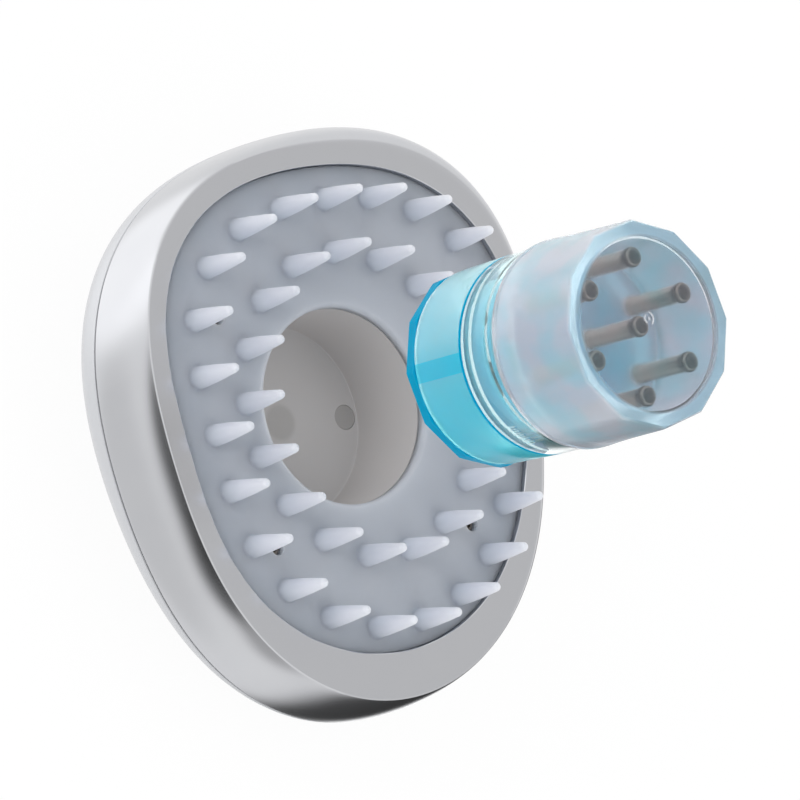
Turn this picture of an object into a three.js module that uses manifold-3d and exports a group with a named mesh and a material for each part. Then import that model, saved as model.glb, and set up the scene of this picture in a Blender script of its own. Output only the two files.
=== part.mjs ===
// Electric scalp massager with a lift-out oil bottle. Sizes are in millimetres.
// The handset lies on its back with its comb teeth up, and +Z is the axis of the round well in its face.
// The roll-on oil bottle stands above the well, lifted straight out of it.
// The origin is on the surface under the handset, below the middle of its outline.
import * as THREE from "three";
import { mergeVertices } from "three/addons/utils/BufferGeometryUtils.js";
import Module from "manifold-3d";

const wasm = await Module();
wasm.setup();

// Clearances.
const SEAT = 0.1; // between flat faces that bear on each other
const FIT = 0.3; // round a piece that is dropped into its place
const PLAY = 0.15; // round a pin or a screw in its hole

// Outlines round the well's axis: a mean radius, then cosine and sine waves once, twice and more times
// round. The rim is the pad's edge plus the bezel, and the seam is the rim plus the flare.
const PAD_EDGE = { mean: 45.7, waves: [[2.4, 0.8], [-2.6, 0.1], [0, 1.6], [-1.1, 0]] };
const BEZEL = { mean: 5.0, waves: [[-0.15, -1.6], [-1.45, -0.25], [-0.3, 0.55], [0.2, 0], [-0.1, -0.2]] };
const FLARE = { mean: 3.7, waves: [[-1.2, 0.1], [0.3, 1.5], [-0.75, -0.45], [-0.2, -0.65], [-0.15, 0]] };

// Curves of the handset, which change slowly on the way round. A side power of 1 rounds the side into the
// bezel, and 2 leaves a crisp rim. The higher the dome power is, the later the back curves in.
const SIDE_POWER = { mean: 1.25, waves: [[-0.5, -0.3]] };
const DOME_POWER = { mean: 2.35, waves: [[0, 0.55]] };

// Shells.
const WALL = 2.0;
const REAR_WALL = 2.0;
const BEZEL_WALL = 1.8;
const SHELF_WALL = 1.8;
const FRONT_DEPTH = 11.2; // seam to rim
const PAD_SINK = 0.95; // pad surface below the rim
const LAND_R = 16.2; // flat of the back, on which the handset rests
const SEAM_REVEAL = 0.8;
const GASKET_INSET = 0.5;
const EDGE_BREAK = 0.3; // small chamfers
const OVERRUN = 1.0; // how far a cut runs past what it cuts
const ARC_MIDDLE = 1 - Math.SQRT1_2; // middle of a quarter round of radius 1, in from its corner

// Well and its cup.
const WELL_R = 19.0;
const WELL_DEPTH = 21.3; // below the pad surface
const CUP_WALL = 1.6;
const CUP_FLANGE = 2.0;
const CUP_FLANGE_T = 1.2;
const WELL_CORNER = 0.5;
const MAGNET_R = 3.4;
const MAGNET_T = 1.5;
const MAGNET_RIM = 1.1;
const VENT_R = 2.35;
const VENT_INSET = 3.0; // vent's middle inside the well's wall

// Comb pad and the stiff plate under it.
const PAD_T = 2.2;
const PAD_LIP = 0.8;
const CARRIER_T = 1.6;
const TOOTH_H = 12.15;
const TOOTH_BASE_R = 2.1;
const TOOTH_TIP_R = 0.9;
const TOOTH_FLARE = 0.4;
const OUTER_TEETH = 23;
const OUTER_TEETH_START = 87.2; // degrees
const OUTER_TEETH_INSET = { mean: 5.85, waves: [[-1.2, 0.8], [0, 0.2]] };
const INNER_TEETH = 17;
const INNER_TEETH_START = 85.9;
const INNER_TEETH_OUT = { mean: 9.3, waves: [[3.5, 0.1], [-1.0, -0.4]] };

// Case screws, through the pad: angle in degrees, and distance outside the well's wall.
const CASE_SCREWS = [
  { angle: -129.2, out: 14.4 },
  { angle: 145.7, out: 13.8 },
  { angle: -43.6, out: 17.4 },
  { angle: 38.8, out: 13.7 },
];
const SCREW_R = 0.9;
const SCREW_HEAD_R = 1.3;
const SCREW_HEAD_T = 0.9;
const SCREW_HEAD_BREAK = 0.25;
const SCREW_SOCKET_R = 0.8;
const SOCKET_SIDES = 6;
const CASE_SCREW_GRIP = 9.0; // length inside the post
const POST_R = 3.0;

// Power button, switch and circuit board, stacked on the inside of the back.
const BUTTON_R = 8.0;
const BUTTON_SINK = 0.4;
const BUTTON_DISH_R = 4.8;
const BUTTON_TRAVEL = 0.6;
const BUTTON_FLANGE = 1.3;
const BUTTON_FLANGE_T = 0.8;
const STUB_R = 2.0;
const STUB_H = 0.5;
const SWITCH_W = 6.0;
const SWITCH_H = 2.0;
const PLUNGER_R = 1.6;
const PLUNGER_H = 0.4;
const BOARD_R = 15.0;
const BOARD_T = 1.2;
const BOARD_ROOM = 0.75; // between the board and the magnet's rim
const STANDOFF_R = 1.5;
const STANDOFF_OUT = 12.5;
const STANDOFFS = 4;
const BOARD_SCREW_R = 0.6;
const BOARD_SCREW_HEAD_R = 1.3;
const BOARD_SCREW_HEAD_T = 0.7;
const LENS_R = 1.2;
const LENS_OUT = 11.8;
const CONTACT_R = 1.5;
const CONTACT_PITCH = 8.0; // between the two charging contacts
const CONTACT_OUT = 11.6;
const PIN_FLANGE = 0.6; // on the lens and the contacts
const PIN_FLANGE_T = 0.6;
const PIN_SINK = 0.1;

// Motor and battery, strapped under the shelf on opposite sides of the cup.
const STOW_ROOM = 1.2; // between the cup and a strap's ear
const STRAP_T = 1.2;
const STRAP_W = 8.0;
const EAR = 4.6;
const EAR_T = 1.6;
const STRAP_SCREW_GRIP = 5.0;
const BOSS_R = 2.3;
const MOTOR_R = 7.0;
const MOTOR_L = 20.0;
const MOTOR_NOSE_R = 2.6;
const MOTOR_NOSE_H = 1.2;
const SHAFT_R = 0.75;
const SHAFT_INSIDE = 6.0;
const WEIGHT_R = 5.5;
const WEIGHT_HUB_R = 2.2;
const WEIGHT_T = 5.0;
const WEIGHT_GAP = 0.6; // between the motor's nose and the weight
const BATTERY_R = 7.0;
const BATTERY_L = 43.0;
const BATTERY_NUB_R = 2.4;
const BATTERY_NUB_H = 1.0;

// Oil bottle: heights count from the back of its base, and its widths from its side.
const BOTTLE_LIFT = 42.4; // back of the base above the pad
const BOTTLE_ROOM = 0.3; // round the bottle in the well
const BOTTLE_TAPER = 0.3; // foot inside the side
const FACET_CUT = 0.6; // flats of the twelve-sided base and of the cap's front inside their corners
const BASE_T = 2.5;
const BASE_SPIGOT = 1.9;
const BOTTLE_WALL = 1.6;
const BODY_H = 13.9;
const NECK_STEP = 4.9; // neck inside the side
const NECK_WALL = 1.5;
const NECK_H = 8.6;
const COLLAR_H = 9.7;
const COLLAR_LIP = 1.1; // step from the collar's side to the spigot that holds the cap
const SPIGOT_H = 3.9;
const SPIGOT_WALL = 1.4;
const PLATE_T = 2.5;
const THREAD_PITCH = 3.0;
const THREAD_TURNS = 1.5;
const THREAD_DEPTH = 0.8;
const THREAD_WIDTH = 1.1;
const THREAD_CREST = 0.6;
const THREAD_ROOT = 0.2; // how far a ridge's root is sunk in its wall
const SEAL_H = 1.2;
const SEAL_W = 1.5;

// Applicator pins: a steel tube with a ball in its end, one in the middle and six round it.
const PIN_EDGE = 6.2; // pins' circle inside the bottle's side
const PIN_START = 86.2; // degrees
const RING_PINS = 6;
const PIN_R = 1.9;
const PIN_RISE = 14.2; // above the plate
const CHANNEL_R = 0.7;
const BALL_R = 1.45;
const BALL_SHOWS = 0.8;
const BALL_PLAY = 0.08;

// Cap over the pins.
const CAP_RIM_PROUD = 0.6; // outside the bottle's side
const CAP_BAND_PROUD = 0.5;
const CAP_BAND_H = 2.6;
const CAP_FRONT_PROUD = 0.2;
const CAP_FRONT_WALL = 1.5;
const CAP_WALL_TOP = 2.9;
const CAP_WALL_LOW = 2.1;
const CAP_ROOM = 0.5; // over the balls
const CAP_EDGE = 0.8;
const FACETS = 12;

// How finely the curves are stepped.
const OUTLINE_STEPS = 48;
const SIDE_STEPS = 4;
const DOME_STEPS = 6;
const ROUND = 24;
const SMALL_ROUND = 8;
const TOOTH_SIDES = 6;
const THREAD_STEPS = 20; // per turn

// Heights that follow from the sizes above.
const buttonTopZ = REAR_WALL + SEAT + BUTTON_FLANGE_T + STUB_H;
const plungerZ = buttonTopZ + BUTTON_TRAVEL + SEAT;
const boardZ = plungerZ + PLUNGER_H + SWITCH_H + SEAT;
const boardTopZ = boardZ + BOARD_T;
const cupZ = boardTopZ + BOARD_ROOM + MAGNET_T + SEAT;
const wellFloorZ = cupZ + CUP_WALL;
const padZ = wellFloorZ + WELL_DEPTH;
const carrierTopZ = padZ - PAD_T - SEAT;
const carrierZ = carrierTopZ - CARRIER_T;
const shelfTopZ = carrierZ - SEAT;
const shelfZ = shelfTopZ - SHELF_WALL;
const rimZ = padZ + PAD_SINK;
const seamZ = rimZ - FRONT_DEPTH;
const cupR = WELL_R + CUP_WALL;
const ventX = WELL_R - VENT_INSET;
const bottleR = WELL_R - BOTTLE_ROOM;
const neckR = bottleR - NECK_STEP;
const bottleZ = padZ + BOTTLE_LIFT;
const bodyTopZ = BASE_T + BODY_H;
const collarTopZ = bodyTopZ + COLLAR_H;
const plateTopZ = collarTopZ + SPIGOT_H;
const pinTipZ = plateTopZ + PIN_RISE;
const capTopZ = pinTipZ + BALL_SHOWS + CAP_ROOM + CAP_FRONT_WALL;

// Finishes.
const finish = (color, roughness, metalness = 0, opacity = 1) =>
  new THREE.MeshStandardMaterial({
    color,
    roughness,
    metalness,
    opacity,
    transparent: opacity < 1,
    flatShading: true,
  });
const SATIN_CHROME = finish("#c9cacd", 0.32, 0.9);
const GREY_ABS = finish("#cfd0d3", 0.45);
const SILICONE = finish("#a6abb5", 0.6);
const DARK_RUBBER = finish("#3a3c40", 0.8);
const CUP_ABS = finish("#979693", 0.5);
const BLACK_NYLON = finish("#26282b", 0.6);
const STEEL = finish("#b4b2ae", 0.28, 1.0);
const MAGNET_NICKEL = finish("#9fa1a3", 0.35, 1.0);
const BRASS = finish("#c9a457", 0.35, 1.0);
const BOARD_GREEN = finish("#1e5b3c", 0.6);
const CELL_WRAP = finish("#3f6fa8", 0.45);
const LENS_CLEAR = finish("#f2f5f6", 0.1, 0, 0.5);
const CYAN_CLEAR = finish("#17a6cc", 0.2, 0, 0.75);
const AQUA_FROST = finish("#8fd8e3", 0.4, 0, 0.7);
const AQUA_CLEAR = finish("#a6e3ec", 0.12, 0, 0.45);
const CAP_FROST = finish("#dfe6ee", 0.3, 0, 0.4);

// A closed three.js geometry as a solid that can be joined and cut.
function solid(geometry) {
  const bare = geometry.clone();
  bare.deleteAttribute("normal");
  bare.deleteAttribute("uv");
  const merged = mergeVertices(bare, 1e-4);
  return new wasm.Manifold(
    new wasm.Mesh({
      numProp: 3,
      vertProperties: merged.attributes.position.array,
      triVerts: new Uint32Array(merged.index.array),
    }),
  );
}

// A solid back as a three.js geometry.
function geometryOf(body) {
  const mesh = body.getMesh();
  const geometry = new THREE.BufferGeometry();
  geometry.setAttribute("position", new THREE.BufferAttribute(mesh.vertProperties, mesh.numProp));
  geometry.setIndex(new THREE.BufferAttribute(mesh.triVerts, 1));
  geometry.computeVertexNormals();
  return geometry;
}

const radians = THREE.MathUtils.degToRad;
const at = (body, x, y, z = 0) => body.translate([x, y, z]);
const polar = (angle, radius) => [
  radius * Math.cos(radians(angle)),
  radius * Math.sin(radians(angle)),
];

// The radius of a waved outline at an angle in radians.
function waved(outline, angle) {
  return outline.waves.reduce(
    (radius, [c, s], i) => radius + c * Math.cos((i + 1) * angle) + s * Math.sin((i + 1) * angle),
    outline.mean,
  );
}
const padEdge = (angle) => waved(PAD_EDGE, angle);
const rimEdge = (angle) => padEdge(angle) + waved(BEZEL, angle);
const seamEdge = (angle) => rimEdge(angle) + waved(FLARE, angle);

// One ring of points round the axis. The radius is a number or a function of the angle.
function ring(radius, z, steps = OUTLINE_STEPS) {
  return Array.from({ length: steps }, (_, i) => {
    const angle = (2 * Math.PI * i) / steps;
    const r = typeof radius === "function" ? radius(angle) : radius;
    return [r * Math.cos(angle), r * Math.sin(angle), z];
  });
}

// A skin over rings, outside upwards. It closes on its first ring, or has a flat lid at each end.
function loft(rings, closed = true) {
  const steps = rings[0].length;
  const points = rings.flat(2);
  const faces = [];
  const spans = closed ? rings.length : rings.length - 1;
  for (let i = 0; i < spans; i++) {
    const low = i * steps;
    const high = ((i + 1) % rings.length) * steps;
    for (let j = 0; j < steps; j++) {
      const k = (j + 1) % steps;
      faces.push(low + j, low + k, high + k, low + j, high + k, high + j);
    }
  }
  if (!closed) {
    const lowMiddle = rings.length * steps;
    const top = (rings.length - 1) * steps;
    points.push(0, 0, rings[0][0][2], 0, 0, rings.at(-1)[0][2]);
    for (let j = 0; j < steps; j++) {
      const k = (j + 1) % steps;
      faces.push(lowMiddle, k, j, lowMiddle + 1, top + j, top + k);
    }
  }
  const geometry = new THREE.BufferGeometry();
  geometry.setAttribute("position", new THREE.Float32BufferAttribute(points, 3));
  geometry.setIndex(faces);
  return solid(geometry);
}

// A turned piece. Its profile of [radius, height] runs up the outside; a hollow one closes on itself.
function turned(profile, segments = ROUND) {
  const points = profile.map(([r, z]) => new THREE.Vector2(r, z));
  if (profile[0][0] > 0) points.push(points[0].clone());
  return solid(new THREE.LatheGeometry(points, segments).rotateX(Math.PI / 2));
}

const rod = (radius, low, high, segments = SMALL_ROUND) =>
  turned([[0, low], [radius, low], [radius, high], [0, high]], segments);

// A flat shape, extruded up from a height.
function plate(shape, low, thickness) {
  const options = { depth: thickness, bevelEnabled: false, curveSegments: SMALL_ROUND };
  return solid(new THREE.ExtrudeGeometry(shape, options).translate(0, 0, low));
}

// The same shape drawn in the Y and Z plane and extruded along X, centred on the axis.
function bar(shape, length) {
  const options = { depth: length, bevelEnabled: false, curveSegments: SMALL_ROUND };
  const turn = new THREE.Matrix4().makeBasis(
    new THREE.Vector3(0, 1, 0),
    new THREE.Vector3(0, 0, 1),
    new THREE.Vector3(1, 0, 0),
  );
  const geometry = new THREE.ExtrudeGeometry(shape, options);
  return solid(geometry.translate(0, 0, -length / 2).applyMatrix4(turn));
}

// A turned piece laid along X.
const lying = (body) => body.rotate([0, 90, 0]);

// Points at equal distances along an outline, from a start angle in degrees.
function stations(edge, count, start) {
  const fine = 720;
  const path = Array.from({ length: fine + 1 }, (_, i) => {
    const angle = radians(start) + (2 * Math.PI * i) / fine;
    return [edge(angle) * Math.cos(angle), edge(angle) * Math.sin(angle)];
  });
  const lengths = [0];
  for (let i = 0; i < fine; i++) {
    const step = Math.hypot(path[i + 1][0] - path[i][0], path[i + 1][1] - path[i][1]);
    lengths.push(lengths[i] + step);
  }
  return Array.from({ length: count }, (_, i) => {
    const wanted = (lengths[fine] * i) / count;
    return path[lengths.findIndex((length) => length >= wanted)];
  });
}

// The side of the front shell: 0 degrees is the rim, 90 the seam.
const sideEdge = (turn, inset) => (angle) =>
  rimEdge(angle) + waved(FLARE, angle) * Math.sin(turn) ** waved(SIDE_POWER, angle) - inset;
const sideZ = (turn) => seamZ + FRONT_DEPTH * Math.cos(turn);
const sideTurn = (z) => Math.acos((z - seamZ) / FRONT_DEPTH);

// The dome of the back: 0 is the seam, 1 the flat land.
const domeEdge = (depth, inset) => (angle) =>
  LAND_R + (seamEdge(angle) - LAND_R) * (1 - depth ** waved(DOME_POWER, angle)) - inset;
const domeZ = (depth) => seamZ * (1 - depth);

const casePlaces = CASE_SCREWS.map(({ angle, out }) => polar(angle, WELL_R + out));

// Straps: distance of a strapped can's axis from the well's axis, and its height.
const stowOut = (canR) => cupR + STOW_ROOM + EAR + STRAP_T + FIT + canR;
const stowZ = (canR) => shelfZ - FIT - canR;
const earMiddle = (canR) => canR + FIT + STRAP_T + EAR / 2;
const motorPlace = [0, -stowOut(MOTOR_R), stowZ(MOTOR_R)];
const batteryPlace = [0, stowOut(BATTERY_R), stowZ(BATTERY_R)];
const strapScrews = [
  [motorPlace, MOTOR_R],
  [batteryPlace, BATTERY_R],
].flatMap(([[x, y, z], canR]) => [-1, 1].map((side) => [x, y + side * earMiddle(canR), z]));

// A hollow shell with a bezel, a well wall round the pad and a shelf that carries pad and cup.
function frontShell() {
  const rings = [];
  const seamTurn = sideTurn(seamZ + SEAM_REVEAL / 2);
  const ceilingTurn = sideTurn(rimZ - BEZEL_WALL);
  for (let i = 0; i <= SIDE_STEPS; i++) {
    const turn = seamTurn * (1 - i / SIDE_STEPS);
    rings.push(ring(sideEdge(turn, 0), sideZ(turn)));
  }
  rings.push(ring((angle) => padEdge(angle) + EDGE_BREAK, rimZ));
  rings.push(ring(padEdge, rimZ - EDGE_BREAK));
  rings.push(ring(padEdge, shelfTopZ));
  rings.push(ring(cupR + FIT, shelfTopZ));
  rings.push(ring(cupR + FIT, shelfZ));
  const ceiling = sideEdge(ceilingTurn, WALL);
  const wellWall = (angle) => Math.min(padEdge(angle) + BEZEL_WALL, ceiling(angle) - EDGE_BREAK);
  rings.push(ring(wellWall, shelfZ));
  rings.push(ring(wellWall, rimZ - BEZEL_WALL));
  for (let i = 0; i <= SIDE_STEPS; i++) {
    const turn = ceilingTurn + (seamTurn - ceilingTurn) * (i / SIDE_STEPS);
    rings.push(ring(sideEdge(turn, WALL), sideZ(turn)));
  }
  let shell = loft(rings);
  for (const [x, y] of casePlaces) {
    shell = shell.subtract(at(rod(SCREW_R + PLAY, shelfZ - OVERRUN, shelfTopZ + OVERRUN), x, y));
  }
  for (const [x, y, z] of strapScrews) {
    shell = shell.add(at(rod(BOSS_R, z + SEAT, shelfZ + SHELF_WALL / 2), x, y));
    shell = shell.subtract(at(rod(SCREW_R + PLAY, z, z + STRAP_SCREW_GRIP + FIT), x, y));
  }
  return shell;
}

// Everything between the middles of the shells' walls, which trims what stands on the inside of the back.
function envelope() {
  const rings = [];
  for (let i = DOME_STEPS; i > 0; i--) {
    const depth = i / DOME_STEPS;
    rings.push(ring(domeEdge(depth, WALL / 2), domeZ(depth) + (REAR_WALL / 2) * depth));
  }
  for (let i = SIDE_STEPS; i > 0; i--) {
    const turn = ((Math.PI / 2) * i) / SIDE_STEPS;
    rings.push(ring(sideEdge(turn, WALL / 2), sideZ(turn)));
  }
  return loft(rings, false);
}

const standoffPlaces = Array.from({ length: STANDOFFS }, (_, i) =>
  polar(((i + 0.5) * 360) / STANDOFFS, STANDOFF_OUT),
);
const boardScrewPlaces = standoffPlaces.filter((_, i) => i % 2 === 0);
const contactPlaces = [-1, 1].map((side) => [(side * CONTACT_PITCH) / 2, -CONTACT_OUT]);
const lensPlace = [0, LENS_OUT];

function rearCover() {
  const seamDepth = SEAM_REVEAL / 2 / seamZ;
  const depths = Array.from(
    { length: DOME_STEPS + 1 },
    (_, i) => 1 - (1 - seamDepth) * (i / DOME_STEPS),
  );
  const rings = [ring(BUTTON_R + PLAY, 0)];
  for (const depth of depths) rings.push(ring(domeEdge(depth, 0), domeZ(depth)));
  for (const depth of depths.toReversed()) {
    rings.push(ring(domeEdge(depth, WALL), domeZ(depth) + REAR_WALL * depth));
  }
  rings.push(ring(BUTTON_R + PLAY, REAR_WALL));
  const inside = envelope();
  let cover = loft(rings);
  for (const [x, y] of casePlaces) {
    const post = at(rod(POST_R, 0, shelfZ - SEAT), x, y);
    cover = cover.add(post.intersect(inside));
    const low = shelfZ - CASE_SCREW_GRIP - FIT;
    cover = cover.subtract(at(rod(SCREW_R + PLAY, low, shelfZ), x, y));
  }
  for (const [x, y] of standoffPlaces) {
    cover = cover.add(at(rod(STANDOFF_R, REAR_WALL / 2, boardZ - SEAT), x, y));
  }
  for (const [x, y] of boardScrewPlaces) {
    cover = cover.subtract(at(rod(BOARD_SCREW_R + PLAY, REAR_WALL, boardZ), x, y));
  }
  cover = cover.subtract(at(rod(LENS_R + PLAY, -OVERRUN, REAR_WALL + OVERRUN), ...lensPlace));
  for (const [x, y] of contactPlaces) {
    cover = cover.subtract(at(rod(CONTACT_R + PLAY, -OVERRUN, REAR_WALL + OVERRUN), x, y));
  }
  return cover;
}

function seamGasket() {
  const half = SEAM_REVEAL / 2 - SEAT;
  const outer = (angle) => seamEdge(angle) - GASKET_INSET;
  const inner = (angle) => seamEdge(angle) - WALL;
  return loft([
    ring(outer, seamZ - half),
    ring(outer, seamZ + half),
    ring(inner, seamZ + half),
    ring(inner, seamZ - half),
  ]);
}

// One comb tooth, from a little way inside the pad to its rounded tip.
function tooth() {
  const flare = TOOTH_BASE_R + TOOTH_FLARE;
  return turned(
    [
      [0, -PAD_T / 2],
      [flare, -PAD_T / 2],
      [flare, 0],
      [TOOTH_BASE_R, 2 * TOOTH_FLARE],
      [TOOTH_TIP_R, TOOTH_H - TOOTH_TIP_R],
      [TOOTH_TIP_R * (1 - ARC_MIDDLE), TOOTH_H - TOOTH_TIP_R * ARC_MIDDLE],
      [0, TOOTH_H],
    ],
    TOOTH_SIDES,
  );
}

function combPad() {
  const low = padZ - PAD_T;
  const edge = (inset) => (angle) => padEdge(angle) - FIT - inset;
  const lip = WELL_R + FIT;
  let pad = loft([
    ring(lip, low),
    ring(edge(0), low),
    ring(edge(0), padZ - EDGE_BREAK),
    ring(edge(EDGE_BREAK), padZ),
    ring(lip + PAD_LIP, padZ),
    ring(lip + PAD_LIP * ARC_MIDDLE, padZ - PAD_LIP * ARC_MIDDLE),
    ring(lip, padZ - PAD_LIP),
  ]);
  const outer = (angle) => padEdge(angle) - waved(OUTER_TEETH_INSET, angle);
  const inner = (angle) => WELL_R + waved(INNER_TEETH_OUT, angle);
  const teeth = [
    ...stations(outer, OUTER_TEETH, OUTER_TEETH_START),
    ...stations(inner, INNER_TEETH, INNER_TEETH_START),
  ];
  for (const [x, y] of teeth) pad = pad.add(at(tooth(), x, y, padZ));
  for (const [x, y] of casePlaces) {
    pad = pad.subtract(at(rod(SCREW_HEAD_R + PLAY, low - OVERRUN, padZ + OVERRUN), x, y));
  }
  return pad;
}

function padCarrier() {
  const edge = (angle) => padEdge(angle) - FIT;
  const mouth = cupR + FIT;
  const rebate = cupR + CUP_FLANGE + FIT;
  const ledgeZ = carrierTopZ - CUP_FLANGE_T - SEAT;
  let carrier = loft([
    ring(mouth, carrierZ),
    ring(edge, carrierZ),
    ring(edge, carrierTopZ),
    ring(rebate, carrierTopZ),
    ring(rebate, ledgeZ),
    ring(mouth, ledgeZ),
  ]);
  for (const [x, y] of casePlaces) {
    const hole = rod(SCREW_R + PLAY, carrierZ - OVERRUN, carrierTopZ + OVERRUN);
    carrier = carrier.subtract(at(hole, x, y));
  }
  return carrier;
}

function wellCup() {
  const pocket = MAGNET_R + PLAY;
  const rim = pocket + MAGNET_RIM;
  const flangeTopZ = carrierTopZ;
  const cup = turned([
    [0, cupZ],
    [pocket, cupZ],
    [pocket, cupZ - MAGNET_T],
    [rim, cupZ - MAGNET_T],
    [rim, cupZ],
    [WELL_R, cupZ],
    [cupR, cupZ + CUP_WALL],
    [cupR, flangeTopZ - CUP_FLANGE_T],
    [cupR + CUP_FLANGE, flangeTopZ - CUP_FLANGE_T],
    [cupR + CUP_FLANGE, flangeTopZ],
    [WELL_R, flangeTopZ],
    [WELL_R, wellFloorZ + WELL_CORNER],
    [WELL_R - WELL_CORNER, wellFloorZ],
    [0, wellFloorZ],
  ]);
  const vent = rod(VENT_R + PLAY, cupZ - OVERRUN, wellFloorZ + OVERRUN);
  return cup.subtract(at(vent, ventX, 0));
}

// A screw with its head's seat at height 0, pointing down.
function screw(radius, headR, headT, length) {
  return turned(
    [
      [0, -length],
      [radius / 2, -length],
      [radius, -length + radius],
      [radius, 0],
      [headR, 0],
      [headR, headT - SCREW_HEAD_BREAK],
      [headR - SCREW_HEAD_BREAK, headT],
      [0, headT],
    ],
    SMALL_ROUND,
  );
}

// A strap: half a band under a can, with an ear at each side at the height of the can's axis.
function strap(canR) {
  const innerR = canR + FIT;
  const outerR = innerR + STRAP_T;
  const reach = outerR + EAR;
  const earTurn = Math.asin(EAR_T / outerR);
  const shape = new THREE.Shape();
  shape.moveTo(-reach, 0);
  shape.lineTo(-reach, -EAR_T);
  shape.lineTo(-outerR * Math.cos(earTurn), -EAR_T);
  shape.absarc(0, 0, outerR, Math.PI + earTurn, 2 * Math.PI - earTurn, false);
  shape.lineTo(reach, -EAR_T);
  shape.lineTo(reach, 0);
  shape.lineTo(innerR, 0);
  shape.absarc(0, 0, innerR, 2 * Math.PI, Math.PI, true);
  shape.closePath();
  let body = bar(shape, STRAP_W);
  for (const side of [-1, 1]) {
    const hole = rod(SCREW_R + PLAY, -EAR_T - OVERRUN, OVERRUN);
    body = body.subtract(at(hole, 0, side * earMiddle(canR)));
  }
  return body;
}

// The motor's can lies along X with its nose towards +X.
function motorCan() {
  const half = MOTOR_L / 2;
  const bore = SHAFT_R + PLAY;
  return lying(
    turned(
      [
        [0, -half],
        [MOTOR_R - EDGE_BREAK, -half],
        [MOTOR_R, -half + EDGE_BREAK],
        [MOTOR_R, half],
        [MOTOR_NOSE_R, half],
        [MOTOR_NOSE_R, half + MOTOR_NOSE_H],
        [bore, half + MOTOR_NOSE_H],
        [bore, half - SHAFT_INSIDE - FIT],
        [0, half - SHAFT_INSIDE - FIT],
      ],
      ROUND,
    ),
  );
}

const noseX = MOTOR_L / 2 + MOTOR_NOSE_H;

function motorShaft() {
  const from = MOTOR_L / 2 - SHAFT_INSIDE;
  return lying(rod(SHAFT_R, from, noseX + WEIGHT_GAP + WEIGHT_T + WEIGHT_GAP));
}

function eccentricWeight() {
  const shape = new THREE.Shape();
  shape.absarc(0, 0, WEIGHT_R, Math.PI, 2 * Math.PI, false);
  shape.absarc(0, 0, WEIGHT_HUB_R, 0, Math.PI, false);
  shape.closePath();
  const middle = noseX + WEIGHT_GAP + WEIGHT_T / 2;
  const bore = lying(rod(SHAFT_R + PLAY, -WEIGHT_T, WEIGHT_T));
  return at(bar(shape, WEIGHT_T).subtract(bore), middle, 0);
}

function batteryCell() {
  const half = BATTERY_L / 2;
  return lying(
    turned(
      [
        [0, -half],
        [BATTERY_R - EDGE_BREAK, -half],
        [BATTERY_R, -half + EDGE_BREAK],
        [BATTERY_R, half - EDGE_BREAK],
        [BATTERY_R - EDGE_BREAK, half],
        [BATTERY_NUB_R, half],
        [BATTERY_NUB_R, half + BATTERY_NUB_H],
        [0, half + BATTERY_NUB_H],
      ],
      ROUND,
    ),
  );
}

function mainBoard() {
  const shape = new THREE.Shape().absarc(0, 0, BOARD_R, 0, 2 * Math.PI, false);
  let board = plate(shape, boardZ, BOARD_T);
  for (const [x, y] of boardScrewPlaces) {
    const hole = rod(BOARD_SCREW_R + PLAY, boardZ - OVERRUN, boardTopZ + OVERRUN);
    board = board.subtract(at(hole, x, y));
  }
  return board;
}

function tactSwitch() {
  const half = SWITCH_W / 2;
  const shape = new THREE.Shape();
  shape.moveTo(-half, -half);
  shape.lineTo(half, -half);
  shape.lineTo(half, half);
  shape.lineTo(-half, half);
  shape.closePath();
  const low = boardZ - SEAT - SWITCH_H;
  return plate(shape, low, SWITCH_H).add(rod(PLUNGER_R, plungerZ, low + SWITCH_H / 2));
}

function powerButton() {
  const flangeZ = REAR_WALL + SEAT;
  const flangeTopZ = flangeZ + BUTTON_FLANGE_T;
  return turned([
    [0, BUTTON_SINK + EDGE_BREAK],
    [BUTTON_DISH_R, BUTTON_SINK],
    [BUTTON_R - EDGE_BREAK, BUTTON_SINK],
    [BUTTON_R, BUTTON_SINK + EDGE_BREAK],
    [BUTTON_R, flangeZ],
    [BUTTON_R + BUTTON_FLANGE, flangeZ],
    [BUTTON_R + BUTTON_FLANGE, flangeTopZ],
    [STUB_R, flangeTopZ],
    [STUB_R, buttonTopZ],
    [0, buttonTopZ],
  ]);
}

// A flanged pin from the face of the back up to the board: the light pipe and the charging contacts.
function flangedPin(radius) {
  const flangeZ = REAR_WALL + SEAT;
  return turned(
    [
      [0, PIN_SINK],
      [radius, PIN_SINK],
      [radius, flangeZ],
      [radius + PIN_FLANGE, flangeZ],
      [radius + PIN_FLANGE, flangeZ + PIN_FLANGE_T],
      [radius, flangeZ + PIN_FLANGE_T],
      [radius, boardZ - SEAT],
      [0, boardZ - SEAT],
    ],
    SMALL_ROUND,
  );
}

// A faceted edge: a regular polygon with a corner at angle 0, cut off at a round of the corner radius.
const facetEdge = (cornerR) => (angle) => {
  const sector = (2 * Math.PI) / FACETS;
  const off = (angle % sector) - sector / 2;
  return Math.min(cornerR, (cornerR - FACET_CUT) / Math.cos(off));
};
const FACET_STEPS = 2 * FACETS;

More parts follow.
